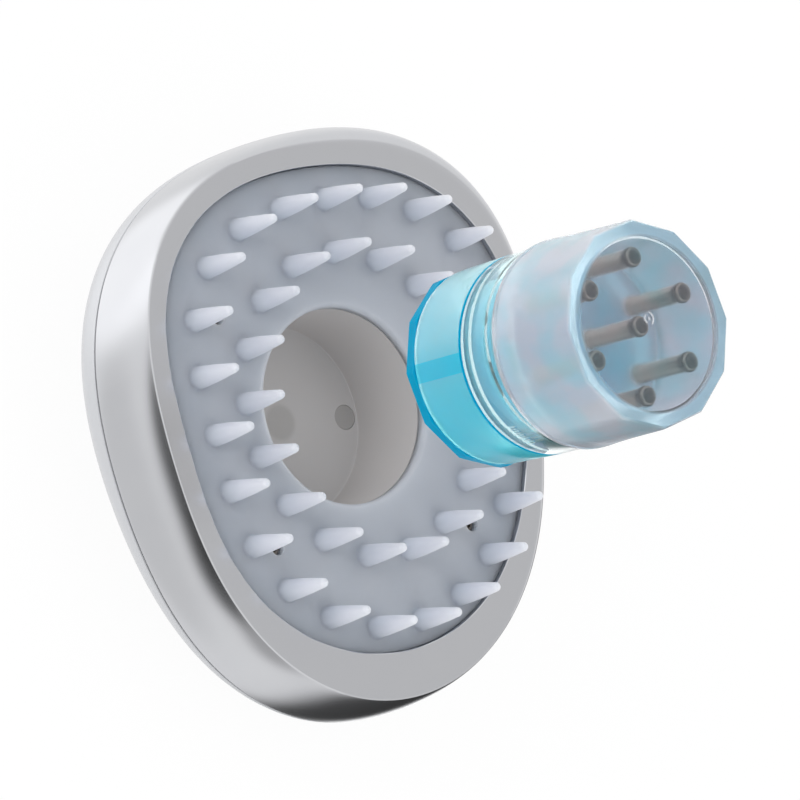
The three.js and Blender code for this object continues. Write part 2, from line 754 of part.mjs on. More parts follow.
// A helical ridge between two radii, with a trapezoid section whose root is the wide side.
function ridge(rootR, crestR, startZ, turns) {
  const steps = Math.round(THREAD_STEPS * turns);
  const section = [
    [rootR, -THREAD_WIDTH / 2],
    [crestR, -THREAD_CREST / 2],
    [crestR, THREAD_CREST / 2],
    [rootR, THREAD_WIDTH / 2],
  ];
  if (crestR < rootR) section.reverse();
  const rings = [];
  for (let i = 0; i <= steps; i++) {
    const angle = (2 * Math.PI * turns * i) / steps;
    const rise = startZ + THREAD_PITCH * turns * (i / steps);
    rings.push(section.map(([r, z]) => [r * Math.cos(angle), r * Math.sin(angle), rise + z]));
  }
  const points = rings.flat(2);
  const faces = [];
  for (let i = 0; i < steps; i++) {
    for (let j = 0; j < 4; j++) {
      const a = 4 * i + j;
      const b = 4 * i + ((j + 1) % 4);
      faces.push(a, b + 4, b, a, a + 4, b + 4);
    }
  }
  const last = 4 * steps;
  faces.push(0, 1, 2, 0, 2, 3, last, last + 2, last + 1, last, last + 3, last + 2);
  const geometry = new THREE.BufferGeometry();
  geometry.setAttribute("position", new THREE.Float32BufferAttribute(points, 3));
  geometry.setIndex(faces);
  return solid(geometry);
}

const footR = bottleR - BOTTLE_TAPER;
const threadCrestR = neckR + THREAD_DEPTH;
const collarBoreR = threadCrestR + FIT;
const sealOuterR = collarBoreR + SEAL_W;
const threadStartZ = bodyTopZ + SEAT + SEAL_H + FIT + THREAD_WIDTH;

// A twelve-sided disc with a spigot that plugs the bottom of the bottle.
function bottleBase() {
  const bore = footR - BOTTLE_WALL - FIT;
  const disc = loft(
    [
      ring(facetEdge(bottleR - EDGE_BREAK), 0, FACET_STEPS),
      ring(facetEdge(bottleR), EDGE_BREAK, FACET_STEPS),
      ring(facetEdge(bottleR), BASE_T, FACET_STEPS),
    ],
    false,
  );
  const spigotTopZ = BASE_T + BASE_SPIGOT;
  return disc.add(
    turned([
      [bore - BOTTLE_WALL, BASE_T / 2],
      [bore, BASE_T / 2],
      [bore, spigotTopZ],
      [bore - BOTTLE_WALL, spigotTopZ],
    ]),
  );
}

function bottleBody() {
  const bore = footR - BOTTLE_WALL;
  const low = BASE_T + SEAT;
  const neckTopZ = bodyTopZ + NECK_H;
  const body = turned([
    [bore, low],
    [footR, low],
    [bottleR, bodyTopZ - EDGE_BREAK],
    [bottleR - EDGE_BREAK, bodyTopZ],
    [neckR, bodyTopZ],
    [neckR, neckTopZ],
    [neckR - NECK_WALL, neckTopZ],
    [neckR - NECK_WALL, bodyTopZ - BOTTLE_WALL],
    [bore, bodyTopZ - BOTTLE_WALL],
  ]);
  return body.add(ridge(neckR - THREAD_ROOT, threadCrestR, threadStartZ, THREAD_TURNS));
}

function headSeal() {
  const low = bodyTopZ + SEAT;
  return turned([
    [collarBoreR, low],
    [sealOuterR, low],
    [sealOuterR, low + SEAL_H],
    [collarBoreR, low + SEAL_H],
  ]);
}

const spigotR = bottleR - COLLAR_LIP;
const plateSeatR = spigotR - SPIGOT_WALL;
const plateZ = plateTopZ - PLATE_T;

function applicatorCollar() {
  const low = bodyTopZ + SEAT;
  const sealRoomR = sealOuterR + PLAY;
  const sealTopZ = low + SEAL_H + SEAT;
  const collar = turned([
    [sealRoomR, low],
    [bottleR - EDGE_BREAK, low],
    [bottleR, low + EDGE_BREAK],
    [bottleR, collarTopZ],
    [spigotR, collarTopZ],
    [spigotR, plateTopZ],
    [plateSeatR, plateTopZ],
    [plateSeatR, plateZ - SEAT],
    [collarBoreR, plateZ - SEAT],
    [collarBoreR, sealTopZ],
    [sealRoomR, sealTopZ],
  ]);
  const start = threadStartZ + THREAD_PITCH / 2;
  const crest = neckR + FIT;
  return collar.add(ridge(collarBoreR + THREAD_ROOT, crest, start, THREAD_TURNS));
}

const pinPlaces = [
  [0, 0],
  ...Array.from({ length: RING_PINS }, (_, i) =>
    polar(PIN_START - (i * 360) / RING_PINS, bottleR - PIN_EDGE),
  ),
];

function nozzlePlate() {
  let disc = rod(plateSeatR - PLAY, plateZ, plateTopZ, ROUND);
  for (const [x, y] of pinPlaces) {
    const hole = rod(PIN_R + PLAY, plateZ - OVERRUN, plateTopZ + OVERRUN);
    disc = disc.subtract(at(hole, x, y));
  }
  return disc;
}

const ballZ = pinTipZ + BALL_SHOWS - BALL_R;

// A tube with an oil channel up its middle and a socket for the ball in its crimped end.
function pinTube() {
  const socketR = BALL_R + BALL_PLAY;
  const mouthR = Math.sqrt(BALL_R ** 2 - (pinTipZ - ballZ) ** 2) + BALL_PLAY;
  const socketZ = ballZ - socketR;
  const equatorLow = ballZ - BALL_R / 2;
  return turned(
    [
      [CHANNEL_R, plateZ],
      [PIN_R, plateZ],
      [PIN_R, pinTipZ - EDGE_BREAK],
      [PIN_R - EDGE_BREAK, pinTipZ],
      [mouthR, pinTipZ],
      [socketR, ballZ + BALL_PLAY],
      [socketR, equatorLow],
      [CHANNEL_R, socketZ],
    ],
    SMALL_ROUND,
  );
}

const rollerBall = () => solid(new THREE.SphereGeometry(BALL_R, SMALL_ROUND, SMALL_ROUND / 2));

function cap() {
  const boreR = spigotR + FIT;
  const low = collarTopZ + SEAT;
  const ceilingZ = capTopZ - CAP_FRONT_WALL;
  const frontR = bottleR + CAP_FRONT_PROUD;
  const bandR = bottleR + CAP_BAND_PROUD;
  const steps = FACET_STEPS;
  return loft(
    [
      ring(frontR - CAP_WALL_TOP, ceilingZ, steps),
      ring(bandR - CAP_WALL_LOW, plateTopZ + SEAT + FIT, steps),
      ring(boreR, plateTopZ + SEAT, steps),
      ring(boreR, low, steps),
      ring(bottleR + CAP_RIM_PROUD, low, steps),
      ring(bandR, low + CAP_BAND_H, steps),
      ring(facetEdge(frontR), capTopZ - CAP_EDGE, steps),
      ring(facetEdge(frontR - CAP_EDGE), capTopZ, steps),
    ],
    false,
  );
}

// The assembly: the handset's axis stands beside the origin, so that the origin is under its middle.
const group = new THREE.Group();
const handset = new THREE.Group();
const bottle = new THREE.Group();
const seamPoints = ring(seamEdge, seamZ);
const middle = (axis) => {
  const values = seamPoints.map((point) => point[axis]);
  return (Math.min(...values) + Math.max(...values)) / 2;
};
handset.position.set(-middle(0), -middle(1), 0);
bottle.position.set(0, 0, bottleZ);
handset.add(bottle);
group.add(handset);

function part(parent, name, body, material, position = [0, 0, 0]) {
  const mesh = new THREE.Mesh(geometryOf(body), material.clone());
  mesh.name = name;
  mesh.position.set(...position);
  parent.add(mesh);
}

part(handset, "front_shell", frontShell(), SATIN_CHROME);
part(handset, "rear_cover", rearCover(), GREY_ABS);
part(handset, "seam_gasket", seamGasket(), DARK_RUBBER);
part(handset, "comb_pad", combPad(), SILICONE);
part(handset, "pad_carrier", padCarrier(), GREY_ABS);
part(handset, "well_cup", wellCup(), CUP_ABS);
part(handset, "well_magnet", rod(MAGNET_R, cupZ - MAGNET_T - SEAT, cupZ - SEAT, ROUND), MAGNET_NICKEL);
part(handset, "well_vent", rod(VENT_R, cupZ + SEAT, wellFloorZ - SEAT), DARK_RUBBER, [ventX, 0, 0]);
casePlaces.forEach(([x, y], i) => {
  const length = carrierTopZ - shelfZ + CASE_SCREW_GRIP;
  const socket = rod(SCREW_SOCKET_R, SCREW_HEAD_T / 2, SCREW_HEAD_T + OVERRUN, SOCKET_SIDES);
  const body = screw(SCREW_R, SCREW_HEAD_R, SCREW_HEAD_T, length).subtract(socket);
  part(handset, `case_screw_${i + 1}`, body, STEEL, [x, y, carrierTopZ + SEAT]);
});
part(handset, "motor_can", motorCan(), STEEL, motorPlace);
part(handset, "motor_shaft", motorShaft(), STEEL, motorPlace);
part(handset, "eccentric_weight", eccentricWeight(), BRASS, motorPlace);
part(handset, "motor_strap", strap(MOTOR_R), BLACK_NYLON, motorPlace);
part(handset, "battery_cell", batteryCell(), CELL_WRAP, batteryPlace);
part(handset, "battery_strap", strap(BATTERY_R), BLACK_NYLON, batteryPlace);
strapScrews.forEach(([x, y, z], i) => {
  const length = EAR_T + STRAP_SCREW_GRIP;
  const body = screw(SCREW_R, SCREW_HEAD_R, SCREW_HEAD_T, length).rotate([180, 0, 0]);
  part(handset, `strap_screw_${i + 1}`, body, STEEL, [x, y, z - EAR_T - SEAT]);
});
part(handset, "main_board", mainBoard(), BOARD_GREEN);
boardScrewPlaces.forEach(([x, y], i) => {
  const length = BOARD_T + (boardZ - REAR_WALL) - FIT;
  const body = screw(BOARD_SCREW_R, BOARD_SCREW_HEAD_R, BOARD_SCREW_HEAD_T, length);
  part(handset, `board_screw_${i + 1}`, body, STEEL, [x, y, boardTopZ + SEAT]);
});
part(handset, "tact_switch", tactSwitch(), BLACK_NYLON);
part(handset, "power_button", powerButton(), GREY_ABS);
part(handset, "indicator_lens", flangedPin(LENS_R), LENS_CLEAR, [...lensPlace, 0]);
contactPlaces.forEach(([x, y], i) => {
  part(handset, `charge_contact_${i + 1}`, flangedPin(CONTACT_R), BRASS, [x, y, 0]);
});

part(bottle, "bottle_base", bottleBase(), CYAN_CLEAR);
part(bottle, "bottle_body", bottleBody(), AQUA_FROST);
part(bottle, "head_seal", headSeal(), SILICONE);
part(bottle, "applicator_collar", applicatorCollar(), AQUA_CLEAR);
part(bottle, "nozzle_plate", nozzlePlate(), CAP_FROST);
pinPlaces.forEach(([x, y], i) => {
  part(bottle, `pin_tube_${i + 1}`, pinTube(), STEEL, [x, y, 0]);
  part(bottle, `roller_ball_${i + 1}`, rollerBall(), STEEL, [x, y, ballZ]);
});
part(bottle, "cap", cap(), CAP_FROST);

export default group;
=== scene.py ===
# %% [markdown]
# # Dressing an electric scalp massager
# The massager comes from CAD as a fixed frame: fifty plain solids with the right sizes, places and joints.
# Here each piece that shows is modelled again, finer, in the same place, and every piece gets its finish.
# Three things make this object: a lopsided plated shell, a soft milky comb, and a bottle seen through plastic.

# %% Load the frame
import math

import bmesh
import bpy
from mathutils import Matrix, Vector


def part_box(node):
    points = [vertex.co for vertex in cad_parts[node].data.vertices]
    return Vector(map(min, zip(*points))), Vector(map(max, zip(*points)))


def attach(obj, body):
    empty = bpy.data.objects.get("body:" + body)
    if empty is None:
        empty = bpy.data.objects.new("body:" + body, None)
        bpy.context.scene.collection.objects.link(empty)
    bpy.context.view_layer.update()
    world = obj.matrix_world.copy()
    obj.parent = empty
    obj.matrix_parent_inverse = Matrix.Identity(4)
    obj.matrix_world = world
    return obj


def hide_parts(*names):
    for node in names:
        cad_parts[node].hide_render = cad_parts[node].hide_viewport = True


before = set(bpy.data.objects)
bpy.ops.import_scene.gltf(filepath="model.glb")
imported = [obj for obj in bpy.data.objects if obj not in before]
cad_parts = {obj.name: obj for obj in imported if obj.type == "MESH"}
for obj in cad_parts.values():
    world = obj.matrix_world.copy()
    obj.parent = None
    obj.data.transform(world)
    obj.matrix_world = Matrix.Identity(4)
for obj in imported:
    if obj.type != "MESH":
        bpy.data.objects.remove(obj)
for spare in ("Cube", "Light", "Camera"):
    if spare in bpy.data.objects:
        bpy.data.objects.remove(bpy.data.objects[spare])
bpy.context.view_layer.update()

# %% [markdown]
# Blender counts in metres, and small products are drawn in millimetres. So every size below is written in
# millimetres, and one factor turns it into metres where a vertex is placed.
# The frame says where things are, such as the axis of the well, the rim and the seam.

# %% Places from the frame
MM = 0.001


def span(node):
    """The lowest and highest corner of a CAD node, in millimetres."""
    return tuple(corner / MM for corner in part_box(node))


def middle(node):
    low, high = span(node)
    return (low + high) / 2


def half_width(node):
    low, high = span(node)
    return (high.x - low.x) / 2


def heights(node):
    """The lowest and highest Z of a CAD node, in millimetres."""
    return tuple(corner.z for corner in span(node))


well = middle("well_cup").xy
rim_z = heights("front_shell")[1]
seam_z = middle("seam_gasket").z
print(f"well axis {well.x:.2f}, {well.y:.2f}  rim {rim_z:.2f}  seam {seam_z:.2f}")

# %% [markdown]
# The handset is not round and not symmetrical: it is widest on one side, like a pebble. An outline like
# that can be written as a mean radius with a few waves added, one to five times round.
# One formula then gives the pad's edge, the rim and the seam, and they stay a smooth family. Each outline
# below is a mean radius and one pair of numbers per wave, for its cosine and its sine. The widths of the
# bezel and of the flared side, which lie between the outlines, are waved in the same way.

# %% Outlines of the handset
PAD_EDGE = (45.7, [(2.4, 0.8), (-2.6, 0.1), (0, 1.6), (-1.1, 0)])
BEZEL = (5.0, [(-0.15, -1.6), (-1.45, -0.25), (-0.3, 0.55), (0.2, 0), (-0.1, -0.2)])
FLARE = (3.7, [(-1.2, 0.1), (0.3, 1.5), (-0.75, -0.45), (-0.2, -0.65), (-0.15, 0)])


def waved(outline, angle):
    mean, waves = outline
    return mean + sum(c * math.cos(n * angle) + s * math.sin(n * angle) for n, (c, s) in enumerate(waves, 1))


def pad_edge(angle):
    return waved(PAD_EDGE, angle)


def rim_edge(angle):
    return pad_edge(angle) + waved(BEZEL, angle)


def seam_edge(angle):
    return rim_edge(angle) + waved(FLARE, angle)


def inside(edge, inset):
    """The same outline, drawn in by an inset."""
    return lambda angle: edge(angle) - inset


print(f"seam radius from {min(seam_edge(math.radians(a)) for a in range(360)):.1f} mm")

# %% [markdown]
# Most pieces here are turned or nearly so: a profile carried round an axis. By hand that is a circle of
# edges, extruded and resized again and again, like a potter pulling up a wall. It needs a few small helpers:
# one picks the piece to work on, one selects a whole ring, and one lays a ring where it belongs. Where the
# outline is waved or faceted, a ring is laid on its formula instead of on a circle.

# %% Helpers for one ring
def at_rest():
    """Back to object mode with nothing selected, because an operator acts on all that is selected."""
    if bpy.context.object and bpy.context.object.mode != "OBJECT":
        bpy.ops.object.mode_set(mode="OBJECT")
    bpy.ops.object.select_all(action="DESELECT")


def pick(*pieces):
    """Selects these pieces alone and makes the first of them active."""
    at_rest()
    for piece in pieces:
        piece.select_set(True)
    bpy.context.view_layer.objects.active = pieces[0]


def lay_ring(radius, height):
    """Lays the selected ring of vertices on a radius, or on a formula of the angle, at a height."""
    mesh = bmesh.from_edit_mesh(bpy.context.object.data)
    for vertex in mesh.verts:
        if vertex.select:
            angle = math.atan2(vertex.co.y, vertex.co.x)
            reach = radius(angle) if callable(radius) else radius
            vertex.co = Vector((math.cos(angle) * reach, math.sin(angle) * reach, height)) * MM
    bmesh.update_edit_mesh(bpy.context.object.data)


def select_rings(*starts, steps):
    """Selects whole rings of vertices by the number of their first vertex."""
    bpy.ops.mesh.select_all(action="DESELECT")
    mesh = bmesh.from_edit_mesh(bpy.context.object.data)
    mesh.verts.ensure_lookup_table()
    for start in starts:
        for vertex in mesh.verts[start : start + steps]:
            vertex.select = True
    mesh.select_flush(True)
    bmesh.update_edit_mesh(bpy.context.object.data)


def close_end(start, steps):
    """Closes an end with a fan of triangles to its middle."""
    select_rings(start, steps=steps)
    bpy.ops.mesh.extrude_region_move()
    bpy.ops.mesh.merge(type="CENTER")


print("rings can be selected, laid and closed")

# %% [markdown]
# With those, a solid is pulled up a profile. A profile that comes back to its start gives a ring-shaped
# solid, whose last ring is bridged to its first; any other gets a lid at each end. A finished piece has its
# faces outwards, its place in its mesh, and smooth shading that stops at sharp edges.

# %% A helper that pulls a ring of edges up a profile
ROUND = 96
OUTLINE = 192


def settle(piece, sharp=30):
    """Points the faces outwards, puts the piece's place into its mesh and smooths all but its sharp edges."""
    bpy.ops.object.mode_set(mode="EDIT")
    bpy.ops.mesh.select_all(action="SELECT")
    bpy.ops.mesh.normals_make_consistent(inside=False)
    pick(piece)
    bpy.ops.object.transform_apply(location=True, rotation=True, scale=True)
    bpy.ops.object.shade_smooth_by_angle(angle=math.radians(sharp))
    return piece


def pull(name, profile, steps=ROUND, centre=None, closed=True, sharp=30):
    """A solid pulled up a profile of (radius, height). Closed profiles bite their own tail; open ones get two lids."""
    at_rest()
    x, y = well if centre is None else centre
    bpy.ops.mesh.primitive_circle_add(vertices=steps, radius=profile[0][1] * MM or MM, location=(x * MM, y * MM, 0))
    piece = bpy.context.object
    piece.name = piece.data.name = name
    bpy.ops.object.mode_set(mode="EDIT")
    bpy.ops.mesh.select_mode(type="VERT")
    lay_ring(*profile[0])
    for radius, height in profile[1:]:
        bpy.ops.mesh.extrude_region_move()
        lay_ring(radius, height)
    last = (len(profile) - 1) * steps
    if closed:
        select_rings(0, last, steps=steps)
        bpy.ops.mesh.bridge_edge_loops()
    else:
        close_end(0, steps)
        close_end(last, steps)
    return settle(piece, sharp)


def arc(radius, height, bend, start, end, steps=6):
    """Points of an arc in the profile's plane: 0 degrees points outwards and 90 up."""
    turns = [math.radians(start + (end - start) * i / steps) for i in range(steps + 1)]
    return [(radius + bend * math.cos(t), height + bend * math.sin(t)) for t in turns]


print("round pieces have", ROUND, "steps, outlines", OUTLINE)

# %% [markdown]
# No moulded edge is razor sharp, and the thin bright line along an edge is what tells the eye that a thing
# is real. A Bevel modifier that looks at angles finds every such edge by itself. Cuts are Booleans: a
# cutter is made, subtracted, and thrown away.

# %% Helpers for edges and cuts
EDGE_ROUND = 0.3
EDGE_ANGLE = 50


def apply_all(piece):
    pick(piece)
    for modifier in list(piece.modifiers):
        bpy.ops.object.modifier_apply(modifier=modifier.name)


def soften(piece):
    """Bevels the edges that turn by more than an angle."""
    bevel = piece.modifiers.new("edge", "BEVEL")
    bevel.width = EDGE_ROUND * MM
    bevel.segments = 3
    bevel.limit_method = "ANGLE"
    bevel.angle_limit = math.radians(EDGE_ANGLE)
    apply_all(piece)
    bpy.ops.object.shade_smooth_by_angle(angle=math.radians(30))
    return piece


def combine(piece, other, operation):
    """Joins another solid to a piece, or cuts it away, and removes that other solid."""
    boolean = piece.modifiers.new(operation.lower(), "BOOLEAN")
    boolean.operation = operation
    boolean.object = other
    boolean.solver = "EXACT"
    apply_all(piece)
    bpy.data.objects.remove(other)
    bpy.ops.object.mode_set(mode="EDIT")
    bpy.ops.mesh.select_all(action="SELECT")
    bpy.ops.mesh.remove_doubles(threshold=0.001 * MM)
    bpy.ops.object.mode_set(mode="OBJECT")
    bpy.ops.object.shade_smooth_by_angle(angle=math.radians(30))
    return piece


def rod(radius, low, high, centre, steps=32):
    """A round bar, mostly used as a cutter."""
    return pull("rod", [(radius, low), (radius, high)], steps, centre, closed=False)


print("edges and cuts ready")

# %% [markdown]
# Teeth, screws, pins and balls repeat. One of each is modelled and then copied to its places. Pieces that
# don't touch each other can also be joined into one object.

# %% Helpers for copies
def join(name, pieces):
    """Joins pieces into one object without a Boolean."""
    pick(*pieces)
    bpy.ops.object.join()
    pieces[0].name = pieces[0].data.name = name
    return pieces[0]


def copy_to(piece, name, shift):
    """A copy with its own mesh, moved by millimetres in X and Y."""
    pick(piece)
    bpy.ops.object.duplicate()
    twin = bpy.context.object
    bpy.ops.transform.translate(value=(shift.x * MM, shift.y * MM, 0))
    bpy.ops.object.transform_apply(location=True)
    twin.name = twin.data.name = name
    return twin


print("copies ready")

# %% [markdown]
# Now the finishes. Colours are picked as sRGB hex values, as in any paint program, but shaders add light in
# linear values, so one function turns one into the other. One more function adds a node, sets its sockets
# and links what is itself a socket. Every finish below is built from these two.

# %% Helpers for materials
def linear(colour):
    """A hex colour as linear red, green, blue and alpha."""
    channels = [int(colour[i : i + 2], 16) / 255 for i in (1, 3, 5)]
    return [c / 12.92 if c <= 0.04045 else ((c + 0.055) / 1.055) ** 2.4 for c in channels] + [1]


def node(tree, kind, sockets=None, **settings):
    """Adds a node. A socket's value is a number, a colour, or another node's output to link."""
    made = tree.nodes.new(kind)
    for name, value in settings.items():
        setattr(made, name, value)
    for name, value in (sockets or {}).items():
        if isinstance(value, bpy.types.NodeSocket):
            tree.links.new(value, made.inputs[name])
        else:
            made.inputs[name].default_value = value
    return made


def new_material(name):
    """An empty material and its tree."""
    material = bpy.data.materials.new(name)
    material.use_nodes = True
    material.node_tree.nodes.clear()
    return material, material.node_tree


print("mid grey #808080 is", round(linear("#808080")[0], 3), "in linear light")

# %% [markdown]
# No real surface has one colour and one gloss all over. So a noise with lumps of a real size moves the gloss
# a little, and where a finger would feel the texture it lifts the surface too. The colour is one hex value,
# or two that the noise blends, or a small function that says where on the piece each colour goes. The Mix
# node keeps its two colours in sockets 6 and 7, because it has others for numbers and vectors.

# %% A finish that wanders
def finish(name, colour, roughness, lump, detail=2.0, depth=None, *, more):
    """A material. Lumps and bump depth are in millimetres, and more holds the shader's other sockets."""
    material, tree = new_material(name)
    place = node(tree, "ShaderNodeTexCoord").outputs["Object"]
    noise = node(tree, "ShaderNodeTexNoise", {"Vector": place, "Scale": 1 / (lump * MM), "Detail": detail})
    wander = noise.outputs["Fac"]
    low, high = roughness
    gloss = node(tree, "ShaderNodeMapRange", {"Value": wander, "To Min": low, "To Max": high})
    sockets = {"Roughness": gloss.outputs["Result"], **more}
    if callable(colour):
        sockets["Base Color"] = colour(tree, place)
    elif isinstance(colour, tuple):
        first, second = colour
        mix = node(tree, "ShaderNodeMix", {"Factor": wander, 6: linear(first), 7: linear(second)}, data_type="RGBA")
        sockets["Base Color"] = mix.outputs[2]
    else:
        sockets["Base Color"] = linear(colour)
    if depth:
        bump = node(tree, "ShaderNodeBump", {"Height": wander, "Strength": 1.0, "Distance": depth * MM})
        sockets["Normal"] = bump.outputs["Normal"]
    shader = node(tree, "ShaderNodeBsdfPrincipled", sockets)
    node(tree, "ShaderNodeOutputMaterial", {"Surface": shader.outputs["BSDF"]})
    return material


def dress(piece, material, slot, body, *nodes):
    """Gives a piece its finish, hangs it on its body and hides the CAD nodes it stands for. The slot is not used."""
    piece.data.materials.clear()
    piece.data.materials.append(material)
    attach(piece, body)
    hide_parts(*nodes)
    return piece


# %% [markdown]
# Satin chrome on ABS: a moulded plastic shell is copper and nickel plated, then chromed over a fine
# micro-etched nickel, so it mirrors its room as if through mist. It is a metal to the eye: metallic 1, no
# diffuse colour at all, and a roughness near a quarter. The plating varies a little, so noise moves the
# roughness by a few hundredths. The etch itself is far too fine to draw.

# %% Satin chrome
METAL = {"Metallic": 1.0}
CHROME_CLOUDS = 9.0
chrome = finish("satin_chrome_on_abs", ("#d0d1d4", "#cbccd0"), (0.2, 0.26), CHROME_CLOUDS, more=METAL)
print(chrome.name)

# %% [markdown]
# The back is moulded ABS under a silver lacquer. Lacquer holds metal flake in a clear coat, so it is part
# metal, part paint: softer than chrome, with flakes a few hundredths of a millimetre across. Drawn at their
# real size they would vanish in the render, so the noise is set at 0.25 mm, just enough to feel.

# %% Silver lacquer
FLAKE = 0.25
lacquer = finish("silver_lacquer_on_abs", ("#c9cacd", "#c2c4c8"), (0.3, 0.42), FLAKE, detail=1.0, depth=0.002,
                 more={"Metallic": 0.45, "Coat Weight": 0.3, "Coat Roughness": 0.2})
print(lacquer.name)

# %% [markdown]
# The comb is moulded silicone, milky and slightly lavender. Light sinks a centimetre into it, which
# subsurface scattering shows. The sheet lies on a stiff grey plate and takes that plate's grey, while the
# teeth stand clear of it and glow paler. So the colour follows the height above the sheet, over the first
# few millimetres of a tooth. Towards its rim the sheet is a little darker and bluer, which an attribute on
# the mesh tells the material.

# %% Milky silicone
SILICONE_SHEET = "#b2b7c1"
SILICONE_RIM = "#969ca6"
SILICONE_TOOTH = "#b5b8c3"
SILICONE_GLOW = 12.0
TOOTH_FOOT = 0.5
TOOTH_FADE = 8.0
PAD_SINK = 0.95
pad_z = rim_z - PAD_SINK


def silicone_shade(tree, place):
    """The sheet's grey, darker towards the rim, which turns paler up each tooth."""
    height = node(tree, "ShaderNodeSeparateXYZ", {"Vector": place}).outputs["Z"]
    up_tooth = node(tree, "ShaderNodeMapRange", {
        "Value": height,
        "From Min": (pad_z + TOOTH_FOOT) * MM,
        "From Max": (pad_z + TOOTH_FADE) * MM,
    }, interpolation_type="SMOOTHSTEP").outputs["Result"]
    rim = node(tree, "ShaderNodeAttribute", attribute_name="near_rim").outputs["Fac"]
    sheet = node(tree, "ShaderNodeMix", {"Factor": rim, 6: linear(SILICONE_SHEET), 7: linear(SILICONE_RIM)},
                 data_type="RGBA").outputs[2]
    return node(tree, "ShaderNodeMix", {"Factor": up_tooth, 6: sheet, 7: linear(SILICONE_TOOTH)},
                data_type="RGBA").outputs[2]


silicone = finish("milky_silicone", silicone_shade, (0.5, 0.6), 0.3, depth=0.002, more={
    "IOR": 1.41,
    "Specular IOR Level": 0.35,
    "Subsurface Weight": 1.0,
    "Subsurface Radius": (1.0, 1.0, 1.0),
    "Subsurface Scale": SILICONE_GLOW * MM,
})
print(silicone.name, "sheet at", round(pad_z, 2))

# %% [markdown]
# The cup in the middle is grey ABS with the satin of a blasted mould. A magnet sits behind its floor and
# holds the bottle's foot. On the floor the colour darkens in a soft disc round the axis.

# %% Moulded grey ABS, darker in a soft disc on its floor
CUP_GREY = "#c3c0bf"
FLOOR_DISC_GREY = "#b3b0ae"
FLOOR_DISC_R = 3.4
WELL_DEPTH = 21.3
cup_floor_z = pad_z - WELL_DEPTH


def cup_shade(tree, place):
    """The cup's grey, darker in a soft disc round the axis of the floor."""
    offset = node(tree, "ShaderNodeVectorMath", {0: place, 1: (well.x * MM, well.y * MM, cup_floor_z * MM)},
                  operation="DISTANCE").outputs["Value"]
    # A soft disc round the floor's axis, where the colour is darker.
    magnet = node(tree, "ShaderNodeMapRange", {
        "Value": offset,
        "From Min": (FLOOR_DISC_R + 0.8) * MM,
        "From Max": (FLOOR_DISC_R - 0.6) * MM,
    }, interpolation_type="SMOOTHSTEP").outputs["Result"]
    return node(tree, "ShaderNodeMix", {"Factor": magnet, 6: linear(CUP_GREY), 7: linear(FLOOR_DISC_GREY)},
                data_type="RGBA").outputs[2]


cup_plastic = finish("satin_moulded_abs", cup_shade, (0.62, 0.74), 0.2, depth=0.003, more={"IOR": 1.54})
print(cup_plastic.name)

# %% [markdown]
# The clear plastics all come from one idea. A clarity says how much of the light goes straight on; the rest
# sinks into the plastic and glows through it, as subsurface light. The roughness says how frosted the mould
# was: what touches a frosted wall stays sharp, and what is far behind it melts. Lamps can't shine through a
# refracting wall in this renderer, so for the rays that look for lamps the wall is swapped for a plain
# tinted sheet. Without that the pins inside would sit in the dark. The bottle's body stands half in its own
# shade, so an aqua can have two ends, and deepens from the comb's broad end to its narrow one.

# %% A clear plastic
STYRENE = {
    "IOR": 1.49,
    "Subsurface Weight": 1.0,
    "Subsurface Radius": (1.0, 1.0, 1.0),
    "Subsurface Scale": 1.5 * MM,
}
AQUA_REACH = 12


def see_through(tree, body, sheet_tint):
    """Shows the plastic to every ray but those that look for lamps, which meet a plain tinted sheet."""
    sheet = node(tree, "ShaderNodeBsdfTransparent", {"Color": linear(sheet_tint)})
    lamp_ray = node(tree, "ShaderNodeLightPath").outputs["Is Shadow Ray"]
    swap = node(tree, "ShaderNodeMixShader", {"Fac": lamp_ray, 1: body.outputs["BSDF"], 2: sheet.outputs["BSDF"]})
    node(tree, "ShaderNodeOutputMaterial", {"Surface": swap.outputs["Shader"]})


def clear_plastic(name, colour, roughness, clarity, sheet_tint, shine=0.5, deep=None):
    """A tinted clear plastic. A second colour is where the first one deepens to."""
    material, tree = new_material(name)
    place = node(tree, "ShaderNodeTexCoord").outputs["Object"]
    flow = node(tree, "ShaderNodeTexNoise", {"Vector": place, "Scale": 1 / (6 * MM)}).outputs["Fac"]
    gloss = node(tree, "ShaderNodeMapRange", {"Value": flow, "To Min": roughness * 0.95, "To Max": roughness * 1.05})
    tint = linear(colour)
    if deep:
        across = node(tree, "ShaderNodeSeparateXYZ", {"Vector": place}).outputs["Y"]
        share = node(tree, "ShaderNodeMapRange", {
            "Value": across,
            "From Min": (well.y + AQUA_REACH) * MM,
            "From Max": (well.y - AQUA_REACH) * MM,
        }, interpolation_type="SMOOTHSTEP").outputs["Result"]
        tint = node(tree, "ShaderNodeMix", {"Factor": share, 6: linear(colour), 7: linear(deep)},
                    data_type="RGBA").outputs[2]
    body = node(tree, "ShaderNodeBsdfPrincipled", {
        **STYRENE,
        "Base Color": tint,
        "Roughness": gloss.outputs["Result"],
        "Specular IOR Level": shine,
        "Transmission Weight": clarity,
    })
    see_through(tree, body, sheet_tint)
    return material


print("refraction of styrene:", STYRENE["IOR"])

# %% [markdown]
# The bottle's plastics are all moulded styrene. Its base is deep cyan and nearly solid in colour, its body a
# frosted aqua with a polished window, its collar a polished pale aqua, and its pin plate a colourless frost.

